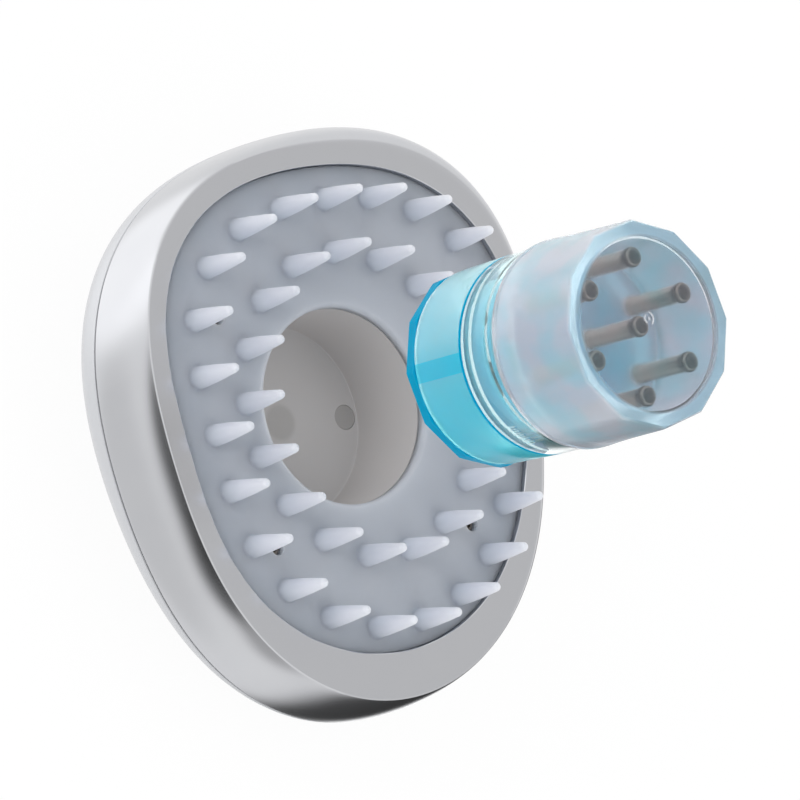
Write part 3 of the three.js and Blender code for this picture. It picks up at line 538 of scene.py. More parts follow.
# %% Clear and frosted plastics
cyan_clear = clear_plastic("polished_cyan_styrene", "#0090b6", 0.16, 0.06, "#5fc8e6", shine=0.06)
aqua_frost = clear_plastic("frosted_aqua_styrene", "#b4ecf5", 0.16, 0.66, "#d4f6fa", shine=0.3, deep="#62e6f6")
aqua_deep = clear_plastic("polished_aqua_window", "#2ecde6", 0.12, 0.5, "#9fe6f2")
aqua_clear = clear_plastic("polished_aqua_styrene", "#b8f0fa", 0.03, 0.92, "#d8f6fb")
cap_frost = clear_plastic("frosted_clear_styrene", "#dfe4ec", 0.3, 0.86, "#eef1f6")
print("clear plastics:", cyan_clear.name, aqua_frost.name, aqua_deep.name, aqua_clear.name, cap_frost.name)

# %% [markdown]
# Small metal parts: the pins are stainless steel, turned and tumbled. Their colour follows the height: a painted
# dark reflection round the crimped tip, and a painted highlight on the very end. The balls are bearing steel
# whose near-black colour is a painted dark reflection, and the screws plain passivated steel. Turning leaves
# rings finer than can be seen here, so only a faint change of roughness stands for them.

# %% Steels
PIN_TIP = heights("pin_tube_1")[1]
PIN_GREY = "#8f857c"
PAINTED_TIP_DARK = "#2c2826"
WEAR = 0.6


def pin_painted_light(tree, place):
    """Warm grey steel, with a painted dark reflection round the crimp and a painted highlight on the very end."""
    height = node(tree, "ShaderNodeSeparateXYZ", {"Vector": place}).outputs["Z"]
    # Painted light: black is a painted dark reflection near the tip, and bright a painted highlight on its end.
    black, bright = (node(tree, "ShaderNodeMapRange", {
        "Value": height,
        "From Min": (PIN_TIP - start) * MM,
        "From Max": (PIN_TIP - end) * MM,
    }, interpolation_type="SMOOTHSTEP").outputs["Result"] for start, end in ((2.6, 1.2), (0.4, 0.05)))
    share = node(tree, "ShaderNodeMath", {0: black, 1: bright}, operation="SUBTRACT").outputs[0]
    return node(tree, "ShaderNodeMix", {"Factor": share, 6: linear(PIN_GREY), 7: linear(PAINTED_TIP_DARK)},
                data_type="RGBA").outputs[2]


pin_steel = finish("stainless_steel_painted_tip", pin_painted_light, (0.18, 0.26), WEAR, 3.0, more=METAL)
# The ball's near-black colour is a painted dark reflection, not the colour of the steel.
ball_steel = finish("bearing_steel_painted_dark", "#322e2c", (0.1, 0.16), WEAR, 3.0, more=METAL)
screw_steel = finish("passivated_steel", "#77716c", (0.35, 0.5), WEAR, 3.0, more=METAL)
print(pin_steel.name, ball_steel.name, screw_steel.name)

# %% [markdown]
# ## The front shell
# The plated front is a hollow ring: a side that swells from the seam up to the rim, a flat bezel, and a wall
# that drops to a shelf under the pad. The side comes first. Its rim is crisp on one side and melts into a round
# on the other, which a power of the sine does: 1 gives a quarter of an ellipse, and nearly 2 an edge.

# %% Outline of the side
SIDE_POWER = (1.25, [(-0.5, -0.3)])
FRONT_DEPTH = rim_z - seam_z


def side_edge(turn, inset=0.0):
    """The side's outline at a turn in degrees: 0 is the rim and 90 the seam."""
    reach = math.sin(math.radians(turn))
    return lambda angle: rim_edge(angle) + waved(FLARE, angle) * reach ** waved(SIDE_POWER, angle) - inset


def side_z(turn):
    return seam_z + FRONT_DEPTH * math.cos(math.radians(turn))


def side_turn(height):
    return math.degrees(math.acos((height - seam_z) / FRONT_DEPTH))


print("front depth", round(FRONT_DEPTH, 2), "mm")

# %% [markdown]
# Now the whole profile: up the outside, over the bezel, down to the shelf and back under it, and down the
# inside of the wall. Two rings close together inside the rim keep the bezel's shading flat, because smooth
# shading spreads over a whole face.

# %% Front shell
WALL = 2.0
BEZEL_WALL = 1.8
SEAM_REVEAL = 0.5
SHELF_TOP = heights("pad_carrier")[0] - 0.1
SHELF_WALL = 1.8
SIDE_RINGS = 28
RIM_TURN = 5.0
CUP_FLANGE = 2.0
cup_r = half_width("well_cup") - CUP_FLANGE


def front_shell():
    low_turn = side_turn(seam_z + SEAM_REVEAL / 2)
    roof_turn = side_turn(rim_z - BEZEL_WALL)
    outer = [RIM_TURN + (low_turn - RIM_TURN) * (1 - i / SIDE_RINGS) for i in range(SIDE_RINGS + 1)]
    inner = [roof_turn + (low_turn - roof_turn) * i / 10 for i in range(11)]
    roof = side_edge(roof_turn, WALL)
    well_wall = lambda angle: min(pad_edge(angle) + BEZEL_WALL, roof(angle) - 0.3)
    profile = [(side_edge(turn), side_z(turn)) for turn in outer]
    profile += [
        (inside(rim_edge, 0.2), rim_z),
        (inside(rim_edge, 0.3), rim_z),
        (inside(pad_edge, -0.5), rim_z),
        (pad_edge, rim_z),
        (pad_edge, SHELF_TOP),
        (cup_r + 0.3, SHELF_TOP),
        (cup_r + 0.3, SHELF_TOP - SHELF_WALL),
        (well_wall, SHELF_TOP - SHELF_WALL),
        (well_wall, rim_z - BEZEL_WALL),
    ]
    profile += [(side_edge(turn, WALL), side_z(turn)) for turn in inner]
    shell = pull("shell_front", profile, OUTLINE)
    return soften(shell)


shell = dress(front_shell(), chrome, "satin_plated_abs", "handset", "front_shell")
print("front shell faces:", len(shell.data.polygons))

# %% [markdown]
# ## The back
# The back is a shallow dome that closes like a pebble onto a flat land, with the power button in its
# middle. It could be one sphere-like cap, but its outline has to match the seam exactly, so it is pulled
# from the same formula. The profile starts at the button's opening, and the holes for the lens and the
# contacts are cut afterwards.

# %% Rear cover
LAND_R = 16.2
REAR_WALL = 2.0
BUTTON_R = 8.0
DOME_RINGS = 26
DOME_POWER = (2.35, [(0, 0.55)])
BACK_HOLES = {"indicator_lens": 1.35, "charge_contact_1": 1.65, "charge_contact_2": 1.65}


def dome_edge(depth, inset=0.0):
    """The dome's outline at a depth: 0 is the seam and 1 the flat land."""
    return lambda angle: LAND_R + (seam_edge(angle) - LAND_R) * (1 - depth ** waved(DOME_POWER, angle)) - inset


def rear_cover():
    start = SEAM_REVEAL / 2 / seam_z
    depths = [start + (1 - start) * i / DOME_RINGS for i in range(DOME_RINGS + 1)]
    profile = [(BUTTON_R + 0.15, REAR_WALL), (BUTTON_R + 0.15, 0)]
    profile += [(dome_edge(depth), seam_z * (1 - depth)) for depth in reversed(depths)]
    profile += [(dome_edge(depth, WALL), seam_z * (1 - depth) + REAR_WALL * depth) for depth in depths]
    cover = soften(pull("shell_rear", profile, OUTLINE))
    for pin, bore in BACK_HOLES.items():
        combine(cover, rod(bore, -1, REAR_WALL + 1, middle(pin).xy), "DIFFERENCE")
    return cover


back = dress(rear_cover(), lacquer, "grey_abs", "handset", "rear_cover")
print("rear cover faces:", len(back.data.polygons))

# %% [markdown]
# The two shells don't quite meet. A dark rubber gasket sits in the gap, a little inside both, and shows as a
# hairline all round. Rubber is nearly black, with a dull sheen.

# %% Seam gasket
def moulded_rubber(name, colour, low, high):
    return finish(name, colour, (low, high), 0.4, depth=0.004, more={"IOR": 1.52})


def seam_gasket():
    low, high = seam_z - SEAM_REVEAL / 2 + 0.1, seam_z + SEAM_REVEAL / 2 - 0.1
    inner, outer, crown = (inside(seam_edge, inset) for inset in (2.0, 0.5, 0.4))
    profile = [(inner, low), (outer, low), (crown, seam_z), (outer, high), (inner, high)]
    return pull("gasket", profile, OUTLINE, sharp=60)


rubber = moulded_rubber("moulded_black_rubber", "#3c3d41", 0.52, 0.68)
gasket = dress(seam_gasket(), rubber, "black_rubber", "handset", "seam_gasket")
print("gasket faces:", len(gasket.data.polygons))

# %% [markdown]
# ## The comb
# Forty soft teeth stand on the pad in two rings: 23 that follow its edge and 17 round the well. One
# tooth is modelled once, a slightly bellied cone with a rounded tip and a small fillet at its foot. The sheet
# is a ring between the well and the pad's edge, with a round lip that rolls into the well.

# %% One tooth, and the sheet
TOOTH_H = 12.15
TOOTH_BASE_R = 2.1
TOOTH_TIP_R = 0.9
TOOTH_BELLY = 1.3
TOOTH_FILLET = 0.45
TOOTH_RINGS = 8
PAD_T = 2.2
PAD_LIP = 1.0
WELL_R = 19.0


def tooth():
    tip_z = pad_z + TOOTH_H - TOOTH_TIP_R
    foot_z = pad_z + TOOTH_FILLET
    profile = [(TOOTH_BASE_R + TOOTH_FILLET, pad_z - 0.4)]
    profile += reversed(arc(TOOTH_BASE_R + TOOTH_FILLET - 0.03, foot_z, TOOTH_FILLET, 184, 270))
    for share in [i / TOOTH_RINGS for i in range(1, TOOTH_RINGS)]:
        taper = (TOOTH_BASE_R - TOOTH_TIP_R) * share**TOOTH_BELLY
        profile.append((TOOTH_BASE_R - taper, foot_z + (tip_z - foot_z) * share))
    profile += arc(0, tip_z, TOOTH_TIP_R, 6, 80, 7)
    return pull("tooth", profile, 28, closed=False, sharp=60)


def pad_sheet():
    low = pad_z - PAD_T
    lip = WELL_R + 0.05
    profile = [(lip, low), (inside(pad_edge, 0.12), low), (inside(pad_edge, 0.12), pad_z - 0.25),
               (inside(pad_edge, 0.18), pad_z - 0.08), (inside(pad_edge, 0.35), pad_z), (inside(pad_edge, 0.6), pad_z),
               (lip + PAD_LIP + 4, pad_z)]
    profile += arc(lip + PAD_LIP, pad_z - PAD_LIP, PAD_LIP, 90, 180, 8)
    return pull("sheet", profile, OUTLINE, sharp=40)


print("tooth height", TOOTH_H, "mm")

# %% [markdown]
# The two rings of teeth aren't circles, so the teeth are set at equal steps along an outline, as a tool
# maker would: the outline is walked in short steps, and a tooth is set down each time its share is done.
# A row is its count, its first angle and, as an outline of its own, how far it keeps from the pad's edge
# or from the well.

# %% Where the teeth stand
OUTER_ROW = (23, 87.2, (5.85, [(-1.2, 0.8), (0, 0.2)]))
INNER_ROW = (17, 85.9, (9.3, [(3.5, 0.1), (-1.0, -0.4)]))
FINE_STEPS = 720


def stations(edge, count, start):
    """Points at equal steps along an outline, from a start angle in degrees."""
    angles = [math.radians(start) + math.tau * i / FINE_STEPS for i in range(FINE_STEPS + 1)]
    path = [Vector((edge(a) * math.cos(a), edge(a) * math.sin(a))) for a in angles]
    lengths = [0.0]
    for here, there in zip(path, path[1:]):
        lengths.append(lengths[-1] + (there - here).length)
    wanted = [lengths[-1] * i / count for i in range(count)]
    return [path[next(i for i, length in enumerate(lengths) if length >= w)] for w in wanted]


def tooth_places():
    count, start, inset = OUTER_ROW
    places = stations(lambda a: pad_edge(a) - waved(inset, a), count, start)
    count, start, out = INNER_ROW
    return places + stations(lambda a: WELL_R + waved(out, a), count, start)


places = tooth_places()
print("teeth:", len(places))

# %% [markdown]
# All teeth are united with the sheet in a single Boolean, because real teeth are moulded in one shot with
# it, and the screw holes are cut after that. The sheet's flat is first divided into rings, so that the
# attribute that darkens the rim has vertices to live on.

# %% The comb, united
SCREWS = [middle(f"case_screw_{i}").xy for i in (1, 2, 3, 4)]
SCREW_BORE = 1.45
RIM_REACH = 9.0
SHEET_RINGS = 9


def mark_rim(piece):
    """Tells the material how near each vertex is to the pad's edge: 1 at the edge, 0 a reach inside it."""
    values = []
    for vertex in piece.data.vertices:
        offset = vertex.co.xy / MM - well
        gap = pad_edge(math.atan2(offset.y, offset.x)) - offset.length
        values.append(max(0.0, min(1.0, 1 - gap / RIM_REACH)) ** 1.5)
    attribute = piece.data.attributes.new("near_rim", "FLOAT", "POINT")
    attribute.data.foreach_set("value", values)


def ring_sheet(piece):
    """Divides the flat of the sheet into rings."""
    bpy.ops.object.mode_set(mode="EDIT")
    bpy.ops.mesh.select_mode(type="EDGE")
    bpy.ops.mesh.select_all(action="DESELECT")
    mesh = bmesh.from_edit_mesh(piece.data)
    top = (pad_z - 0.01) * MM
    for edge in mesh.edges:
        flat = all(face.normal.z > 0.99 and face.calc_center_median().z > top for face in edge.link_faces)
        edge.select = flat and edge.calc_length() > 3 * MM
    bmesh.update_edit_mesh(piece.data)
    bpy.ops.mesh.subdivide(number_cuts=SHEET_RINGS)
    bpy.ops.mesh.select_mode(type="VERT")
    bpy.ops.object.mode_set(mode="OBJECT")


def comb():
    sheet = pad_sheet()
    ring_sheet(sheet)
    first = tooth()
    teeth = [copy_to(first, f"tooth_{i}", spot) for i, spot in enumerate(places)]
    bpy.data.objects.remove(first)
    combine(sheet, join("teeth", teeth), "UNION")
    for spot in SCREWS:
        combine(sheet, rod(SCREW_BORE, pad_z - PAD_T - 1, pad_z + 1, spot), "DIFFERENCE")
    bpy.ops.object.shade_smooth_by_angle(angle=math.radians(50))
    sheet.name = sheet.data.name = "comb"
    mark_rim(sheet)
    return sheet


comb_piece = dress(comb(), silicone, "silicone", "handset", "comb_pad")
print("comb faces:", len(comb_piece.data.polygons))

# %% [markdown]
# ## The well
# The cup is a plain deep dish. Its floor has a pocket behind it for the magnet and a round plug of softer
# rubber to one side, which lets air out when the bottle drops in. Only the inside shows, and its one
# important edge is the soft corner where the wall meets the floor.

# %% Cup and vent plug
CUP_CORNER = 0.3
MAGNET_POCKET = 3.55
POCKET_DROP = 1.5
VENT_BORE = 2.5


def well_cup():
    low, high = heights("well_cup")
    under = low + POCKET_DROP
    pocket_out = MAGNET_POCKET + 1.1
    flange_low = high - 1.2
    profile = [(0.6, under), (MAGNET_POCKET, under), (MAGNET_POCKET, low), (pocket_out, low), (pocket_out, under),
               (WELL_R, under), (cup_r, under + 1.6), (cup_r, flange_low), (cup_r + CUP_FLANGE, flange_low),
               (cup_r + CUP_FLANGE, high), (WELL_R, high)]
    profile += arc(WELL_R - CUP_CORNER, cup_floor_z + CUP_CORNER, CUP_CORNER, 0, -90)
    profile += [(WELL_R - CUP_CORNER - 0.15, cup_floor_z), (4.0, cup_floor_z), (0.6, cup_floor_z)]
    cup = pull("cup", profile, closed=False)
    vent_hole = rod(VENT_BORE, cup_floor_z - 3, cup_floor_z + 1, middle("well_vent").xy)
    return combine(cup, vent_hole, "DIFFERENCE")


def vent_plug():
    low, high = heights("well_vent")
    radius = VENT_BORE - 0.05
    profile = [(radius - 0.15, low), (radius, low + 0.1), (radius, high - 0.05), (radius - 0.05, high), (1.2, high)]
    return pull("vent_plug", profile, 40, middle("well_vent").xy, closed=False)


soft_rubber = moulded_rubber("moulded_grey_rubber", "#a9a6a4", 0.62, 0.78)
cup = dress(well_cup(), cup_plastic, "cup_abs", "handset", "well_cup")
dress(vent_plug(), soft_rubber, "black_rubber", "handset", "well_vent")
print("cup faces:", len(cup.data.polygons))

# %% [markdown]
# ## Case screws
# Four screws hold the halves together, sunk through holes in the pad between the teeth. One is modelled:
# a shank, a pan head with a rounded edge and a six-sided socket. The others are copies at their CAD places.

# %% Case screws
SHANK_R = 0.9
SCREW_HEAD_R = 1.3
SCREW_HEAD_H = 0.9
SOCKET_R = 0.7
SOCKET_DEPTH = 0.6


def case_screw():
    low, high = heights("case_screw_1")
    seat = high - SCREW_HEAD_H
    profile = [(SHANK_R / 2, low), (SHANK_R, low + 0.9), (SHANK_R, seat), (SCREW_HEAD_R, seat)]
    profile += arc(SCREW_HEAD_R - 0.3, high - 0.3, 0.3, 0, 90, 4)
    screw = pull("case_screw", profile, 32, SCREWS[0], closed=False)
    socket = rod(SOCKET_R, high - SOCKET_DEPTH, high + 1, SCREWS[0], steps=6)
    return combine(screw, socket, "DIFFERENCE")


first_screw = case_screw()
for number, place in enumerate(SCREWS, 1):
    screw = copy_to(first_screw, f"screw_{number}", place - SCREWS[0])
    dress(screw, screw_steel, "steel", "handset", f"case_screw_{number}")
bpy.data.objects.remove(first_screw)
print("case screws at", [tuple(round(c, 1) for c in place) for place in SCREWS])

# %% [markdown]
# ## Button, lens and contacts
# On the back sit the power button, a small status lens above it and two charging contacts below it. The
# button is grey ABS, dished for a fingertip, with a fine ring sunk round its middle that the finger feels.

# %% Power button
FLANGE_LOW = REAR_WALL + 0.1
BUTTON_FLANGE = 0.8
BUTTON_EDGE = 0.35


def power_button():
    face, stem = heights("power_button")
    flange_r, flange_high = BUTTON_R + 1.3, FLANGE_LOW + BUTTON_FLANGE
    profile = [(1.5, face + 0.28), (3.2, face + 0.16), (4.8, face + 0.03), (6.2, face), (7.6, face)]
    profile += arc(BUTTON_R - BUTTON_EDGE, face + BUTTON_EDGE, BUTTON_EDGE, -70, 0, 4)
    profile += [(BUTTON_R, FLANGE_LOW), (flange_r, FLANGE_LOW), (flange_r, flange_high), (2.0, flange_high),
                (2.0, stem)]
    button = pull("button", profile, closed=False)
    groove = pull("groove", [(2.9, face - 0.5), (3.4, face - 0.5), (3.4, face + 0.42), (2.9, face + 0.42)], 48)
    return combine(button, groove, "DIFFERENCE")


plain_abs = finish("fine_textured_grey_abs", ("#cfd0d3", "#c4c5c9"), (0.42, 0.52), 0.25, 3.0, depth=0.006,
                   more={"IOR": 1.54})
button = dress(power_button(), plain_abs, "grey_abs", "button", "power_button")
print("button faces:", len(button.data.polygons))

# %% [markdown]
# The lens is a light pipe of clear acrylic, and the contacts are gold-plated brass with domed ends. Each is a
# small turned pin with a flange that stops it from falling out.

# %% Lens and contacts
def flanged_pin(name, node_name, radius):
    low, high = heights(node_name)
    flange_r, flange_high = radius + 0.6, FLANGE_LOW + 0.6
    profile = [(radius * 0.35, low), (radius * 0.8, low + 0.05), (radius, low + 0.25), (radius, FLANGE_LOW),
               (flange_r, FLANGE_LOW), (flange_r, flange_high), (radius, flange_high), (radius, high)]
    return pull(name, profile, 40, middle(node_name).xy, closed=False)


brass = finish("gold_plated_brass", ("#d9b36a", "#cda45a"), (0.18, 0.3), 0.5, 3.0, more=METAL)
lens_acrylic = clear_plastic("polished_clear_acrylic", "#f2f5f6", 0.05, 0.9, "#f6f8f8")
lens = dress(flanged_pin("lens", "indicator_lens", 1.2), lens_acrylic, "lens_clear", "handset", "indicator_lens")
contact = flanged_pin("contact_1", "charge_contact_1", 1.5)
pitch = (middle("charge_contact_2") - middle("charge_contact_1")).xy
contacts = (contact, copy_to(contact, "contact_2", pitch))
for number, contact in enumerate(contacts, 1):
    dress(contact, brass, "brass", "handset", f"charge_contact_{number}")
print("on the back:", lens.name, *[contact.name for contact in contacts])

# %% [markdown]
# ## The bottle's base
# The bottle is closed at its foot by a twelve-sided disc of deep cyan, which can be gripped and turned. A
# twelve-sided ring is a circle whose radius follows the flats, with the corners trimmed by a round. The
# disc carries a spigot that plugs the body.

# %% Faceted base
bottle_z = heights("bottle_base")[0]
BOTTLE_R = half_width("bottle_base")
FACET_CUT = 0.6
BASE_T = 2.5
FACETS = 12
BODY_DRAFT = 0.3
BODY_WALL = 1.6
body_bore = BOTTLE_R - BODY_DRAFT - BODY_WALL


def faceted(corner_r):
    """A radius that follows twelve flats and is trimmed to a round at the corners."""
    sector = math.tau / FACETS

    def edge(angle):
        off = angle % sector - sector / 2
        return min(corner_r, (corner_r - FACET_CUT) / math.cos(off))

    return edge


def bottle_base():
    low, high = bottle_z, bottle_z + BASE_T
    spigot = body_bore - 0.3
    spigot_in, spigot_high = spigot - 1.6, high + 1.9
    profile = [(spigot_in, low + 0.3), (faceted(BOTTLE_R - 0.9), low), (faceted(BOTTLE_R - 0.3), low + 0.1),
               (faceted(BOTTLE_R), low + 0.4), (faceted(BOTTLE_R), high - 0.2), (faceted(BOTTLE_R - 0.2), high),
               (spigot, high), (spigot, spigot_high), (spigot_in, spigot_high), (spigot_in, low + 1.25)]
    return pull("base", profile, closed=False)


base = dress(bottle_base(), cyan_clear, "cyan_clear", "bottle", "bottle_base")
print("base faces:", len(base.data.polygons))

# %% [markdown]
# ## The bottle's body
# The body is a frosted aqua tumbler with a neck on it, and the neck carries a thread. A helix is easiest by
# a Screw modifier: a small section is turned and lifted at the same time.

# %% The thread
THREAD_PITCH = 3.0
THREAD_TURNS = 1.5


def helix(root, crest, start_z):
    """A ridge of trapezoid section, wound up the well's axis by a Screw modifier."""
    at_rest()
    half, top = 0.55, 0.3
    bpy.ops.mesh.primitive_plane_add(size=1, location=(well.x * MM, well.y * MM, 0))
    ridge = bpy.context.object
    ridge.name = ridge.data.name = "thread"
    corners = [(root, -half), (crest, -top), (root, half), (crest, top)]
    for vertex, (radius, z) in zip(ridge.data.vertices, corners):
        vertex.co = Vector((radius, 0, start_z + z)) * MM
    screw = ridge.modifiers.new("wind", "SCREW")
    screw.angle = math.tau * THREAD_TURNS
    screw.screw_offset = THREAD_PITCH * THREAD_TURNS * MM
    screw.steps = screw.render_steps = int(48 * THREAD_TURNS)
    screw.axis = "Z"
    apply_all(ridge)
    bpy.ops.object.mode_set(mode="EDIT")
    bpy.ops.mesh.select_all(action="SELECT")
    bpy.ops.mesh.fill_holes(sides=4)
    return settle(ridge)


print("thread:", THREAD_TURNS, "turns of", THREAD_PITCH, "mm")

# %% [markdown]
# The thread's foot is sunk a little into the neck, so that the Boolean that unites them finds a clean
# crossing. The body widens by its draft from foot to shoulder, so that it leaves its mould.

# %% Body and neck
BODY_TOP = bottle_z + 16.4
NECK_R = BOTTLE_R - 4.9
NECK_H = 8.6
NECK_WALL = 1.5
THREAD_DEPTH = 0.8
thread_z = BODY_TOP + 2.7


def bottle_body():
    low = bottle_z + BASE_T + 0.1
    neck_in, neck_top = NECK_R - NECK_WALL, BODY_TOP + NECK_H
    ceiling = BODY_TOP - BODY_WALL
    profile = [(body_bore, low), (BOTTLE_R - BODY_DRAFT - 0.25, low), (BOTTLE_R - BODY_DRAFT, low + 0.25),
               (BOTTLE_R - BODY_DRAFT / 2, low + 7), (BOTTLE_R, BODY_TOP - 0.35), (BOTTLE_R - 0.1, BODY_TOP - 0.1),
               (BOTTLE_R - 0.35, BODY_TOP), (NECK_R, BODY_TOP), (NECK_R, neck_top - 0.3), (NECK_R - 0.3, neck_top),
               (neck_in + 0.3, neck_top), (neck_in, neck_top - 0.3), (neck_in, ceiling), (body_bore, ceiling)]
    return combine(pull("body", profile), helix(NECK_R - 0.2, NECK_R + THREAD_DEPTH, thread_z), "UNION")


body = dress(bottle_body(), aqua_frost, "aqua_frost", "bottle", "bottle_body")
print("body faces:", len(body.data.polygons))

# %% [markdown]
# One piece may wear several plastics: each face has the number of its material. A polished strip up the
# body's side shows the oil's level, and the shoulder's edge is deep cyan, which draws the dark line between
# body and collar.

# %% Level window and shoulder
WINDOW_ANGLE = 182.0
WINDOW_HALF = 1.4


def cut_window(piece):
    """Gives the faces of a strip on the body's side the polished plastic."""
    piece.data.materials.append(aqua_deep)
    for face in piece.data.polygons:
        offset = face.center.xy / MM - well
        turn = (math.degrees(math.atan2(offset.y, offset.x)) - WINDOW_ANGLE + 180) % 360 - 180
        outside = offset.length > BOTTLE_R - 1.0
        high = bottle_z + 3.2 < face.center.z / MM < bottle_z + 14.5
        if outside and high and abs(turn) < math.degrees(WINDOW_HALF / BOTTLE_R) + 1.0:
            face.material_index = 1


def colour_shoulder(piece):
    """Gives the faces at the shoulder's edge the deep cyan."""
    piece.data.materials.append(cyan_clear)
    for face in piece.data.polygons:
        reach = (face.center.xy / MM - well).length
        if reach > BOTTLE_R - 3.0 and face.center.z / MM > BODY_TOP - 0.45:
            face.material_index = 2


cut_window(body)
colour_shoulder(body)
print("body's plastics:", [plastic.name for plastic in body.data.materials])

# %% [markdown]
# ## Seal, collar and pin plate
# A ring of silicone seals the collar on the bottle's shoulder. The collar screws over the neck, clear aqua,
# so its own thread and the neck's show through it as bright rings. It ends in a thin spigot that holds the
# cap, and the pin plate closes it.

# %% Seal and collar
SEAL_W = 1.5
COLLAR_BORE = NECK_R + THREAD_DEPTH + 0.3
SPIGOT_R = BOTTLE_R - 1.1
SPIGOT_WALL = 1.4
RIBS = 5
RIB_ANGLE = -126
RIB_STEP = 3.6
plate_low, plate_high = heights("nozzle_plate")
cap_low, cap_high = heights("cap")


def head_seal():
    low, high = heights("head_seal")
    near, far, edge = COLLAR_BORE, COLLAR_BORE + SEAL_W, 0.2
    return pull("seal", [(near, low + edge), (near + edge, low), (far - edge, low), (far, low + edge),
                         (far, high - edge), (far - edge, high), (near + edge, high), (near, high - edge)])


def grip_ribs(low, high):
    """Five short ribs side by side, which mark where the collar is held."""
    ribs = []
    for i in range(RIBS):
        turn = math.radians(RIB_ANGLE + (i - (RIBS - 1) / 2) * RIB_STEP)
        spot = well + Vector((math.cos(turn), math.sin(turn))) * (BOTTLE_R - 0.15)
        at_rest()
        bpy.ops.mesh.primitive_cube_add(size=MM, location=(spot.x * MM, spot.y * MM, (low + high) / 2 * MM),
                                        rotation=(0, 0, turn), scale=(0.9, 0.5, high - low))
        ribs.append(settle(bpy.context.object))
    return join("ribs", ribs)


def collar():
    low, top = heights("applicator_collar")[0], cap_low - 0.1
    room = COLLAR_BORE + SEAL_W + 0.15
    profile = [(room, low), (BOTTLE_R - 0.4, low), (BOTTLE_R - 0.12, low + 0.12), (BOTTLE_R, low + 0.4),
               (BOTTLE_R, top - 0.3), (BOTTLE_R - 0.3, top), (SPIGOT_R, top), (SPIGOT_R, plate_high - 0.2),
               (SPIGOT_R - 0.2, plate_high), (SPIGOT_R - SPIGOT_WALL, plate_high),
               (SPIGOT_R - SPIGOT_WALL, plate_low - 0.1), (COLLAR_BORE, plate_low - 0.1), (COLLAR_BORE, low + 1.4),
               (room, low + 1.4)]
    thread = helix(COLLAR_BORE + 0.2, NECK_R + 0.3, thread_z + THREAD_PITCH / 2)
    ring = combine(pull("collar", profile), thread, "UNION")
    return combine(ring, grip_ribs(top - 6.4, top - 4.4), "UNION")


seal = dress(head_seal(), silicone, "silicone", "seal", "head_seal")
collar_piece = dress(collar(), aqua_clear, "aqua_clear", "head", "applicator_collar")
print("collar faces:", len(collar_piece.data.polygons))

# %% [markdown]
# ## Plate, pins and balls
# Seven steel pins stand in a frosted plate, one in the middle and six round it. The plate is a short disc,
# and the holes for the pins are cut through it all at once.

# %% Pin plate
PIN_R = 1.9
PINS = [middle(f"pin_tube_{i}").xy for i in range(1, 8)]


def pin_plate():
    radius = SPIGOT_R - SPIGOT_WALL - 0.15
    profile = [(0.5, plate_low), (radius - 0.2, plate_low), (radius, plate_low + 0.2), (radius, plate_high - 0.2),
               (radius - 0.2, plate_high), (0.5, plate_high)]
    plate = pull("pin_plate", profile, closed=False)
    holes = join("holes", [rod(PIN_R + 0.1, plate_low - 1, plate_high + 1, spot, 40) for spot in PINS])
    return combine(plate, holes, "DIFFERENCE")


plate = dress(pin_plate(), cap_frost, "cap_frost", "head", "nozzle_plate")
print("plate faces:", len(plate.data.polygons))

# %% [markdown]
# Each pin is a tube whose head is crimped over a ball. The ball rolls and carries oil up the tube to the
# scalp. One pin and one ball are modelled and copied, because turned parts from one machine are all alike.

# %% Pins and balls
BALL_R = 1.45
SHAFT_R = 1.7
HEAD_H = 1.3
CRIMP_H = 0.7


def first_pin():
    low, high = heights("pin_tube_1")
    ball_z = middle("roller_ball_1").z
    mouth = math.sqrt(BALL_R**2 - (high - ball_z) ** 2) + 0.08
    foot = plate_high + 0.6
    profile = [(0.7, low), (PIN_R - 0.1, low), (PIN_R, low + 0.1), (PIN_R, foot), (SHAFT_R, foot + 0.3)]
    profile += [(SHAFT_R, high - HEAD_H - 0.5), (PIN_R - 0.1, high - HEAD_H), (PIN_R, high - HEAD_H + 0.2)]
    for turn in range(0, 91, 15):
        reach = mouth + 0.05 + (PIN_R - mouth - 0.05) * math.cos(math.radians(turn))
        profile.append((reach, high - CRIMP_H * (1 - math.sin(math.radians(turn)))))
    profile += [(mouth, high), (BALL_R + 0.08, ball_z + 0.1), (BALL_R + 0.08, ball_z - 0.5), (0.7, ball_z - 1.5)]
    return pull("pin", profile, 40)


def first_ball():
    centre = middle("roller_ball_1").z
    return pull("ball", arc(0, centre, BALL_R, -84, 84, 16), 32, closed=False, sharp=80)


pin, ball = first_pin(), first_ball()
for number, spot in enumerate(PINS, 1):
    shift = spot - PINS[0]
    tube = copy_to(pin, f"pin_{number}", shift)
    dress(tube, pin_steel, "steel", "head", f"pin_tube_{number}")
    roller = copy_to(ball, f"ball_{number}", shift)
    dress(roller, ball_steel, "steel", f"ball_{number}", f"roller_ball_{number}")
bpy.data.objects.remove(pin)
bpy.data.objects.remove(ball)
print("pins:", len(PINS))

# %% [markdown]
# ## The cap
# The cap is round where it grips the collar and twelve-sided at its front, so its wall turns slowly from a
# circle into facets. The profile below does this by blending two radii with the height. Its front is thin,
# its wall thick, and where the wall stands behind the front, a bluish ring shows. A gate mark is left in
# the middle of the front, where the plastic entered the mould.

# %% Cap
CAP_WALL_TOP = 2.9
CAP_WALL_LOW = 2.1
CAP_FRONT_WALL = 1.5
GATE_OFFSET = 0.93


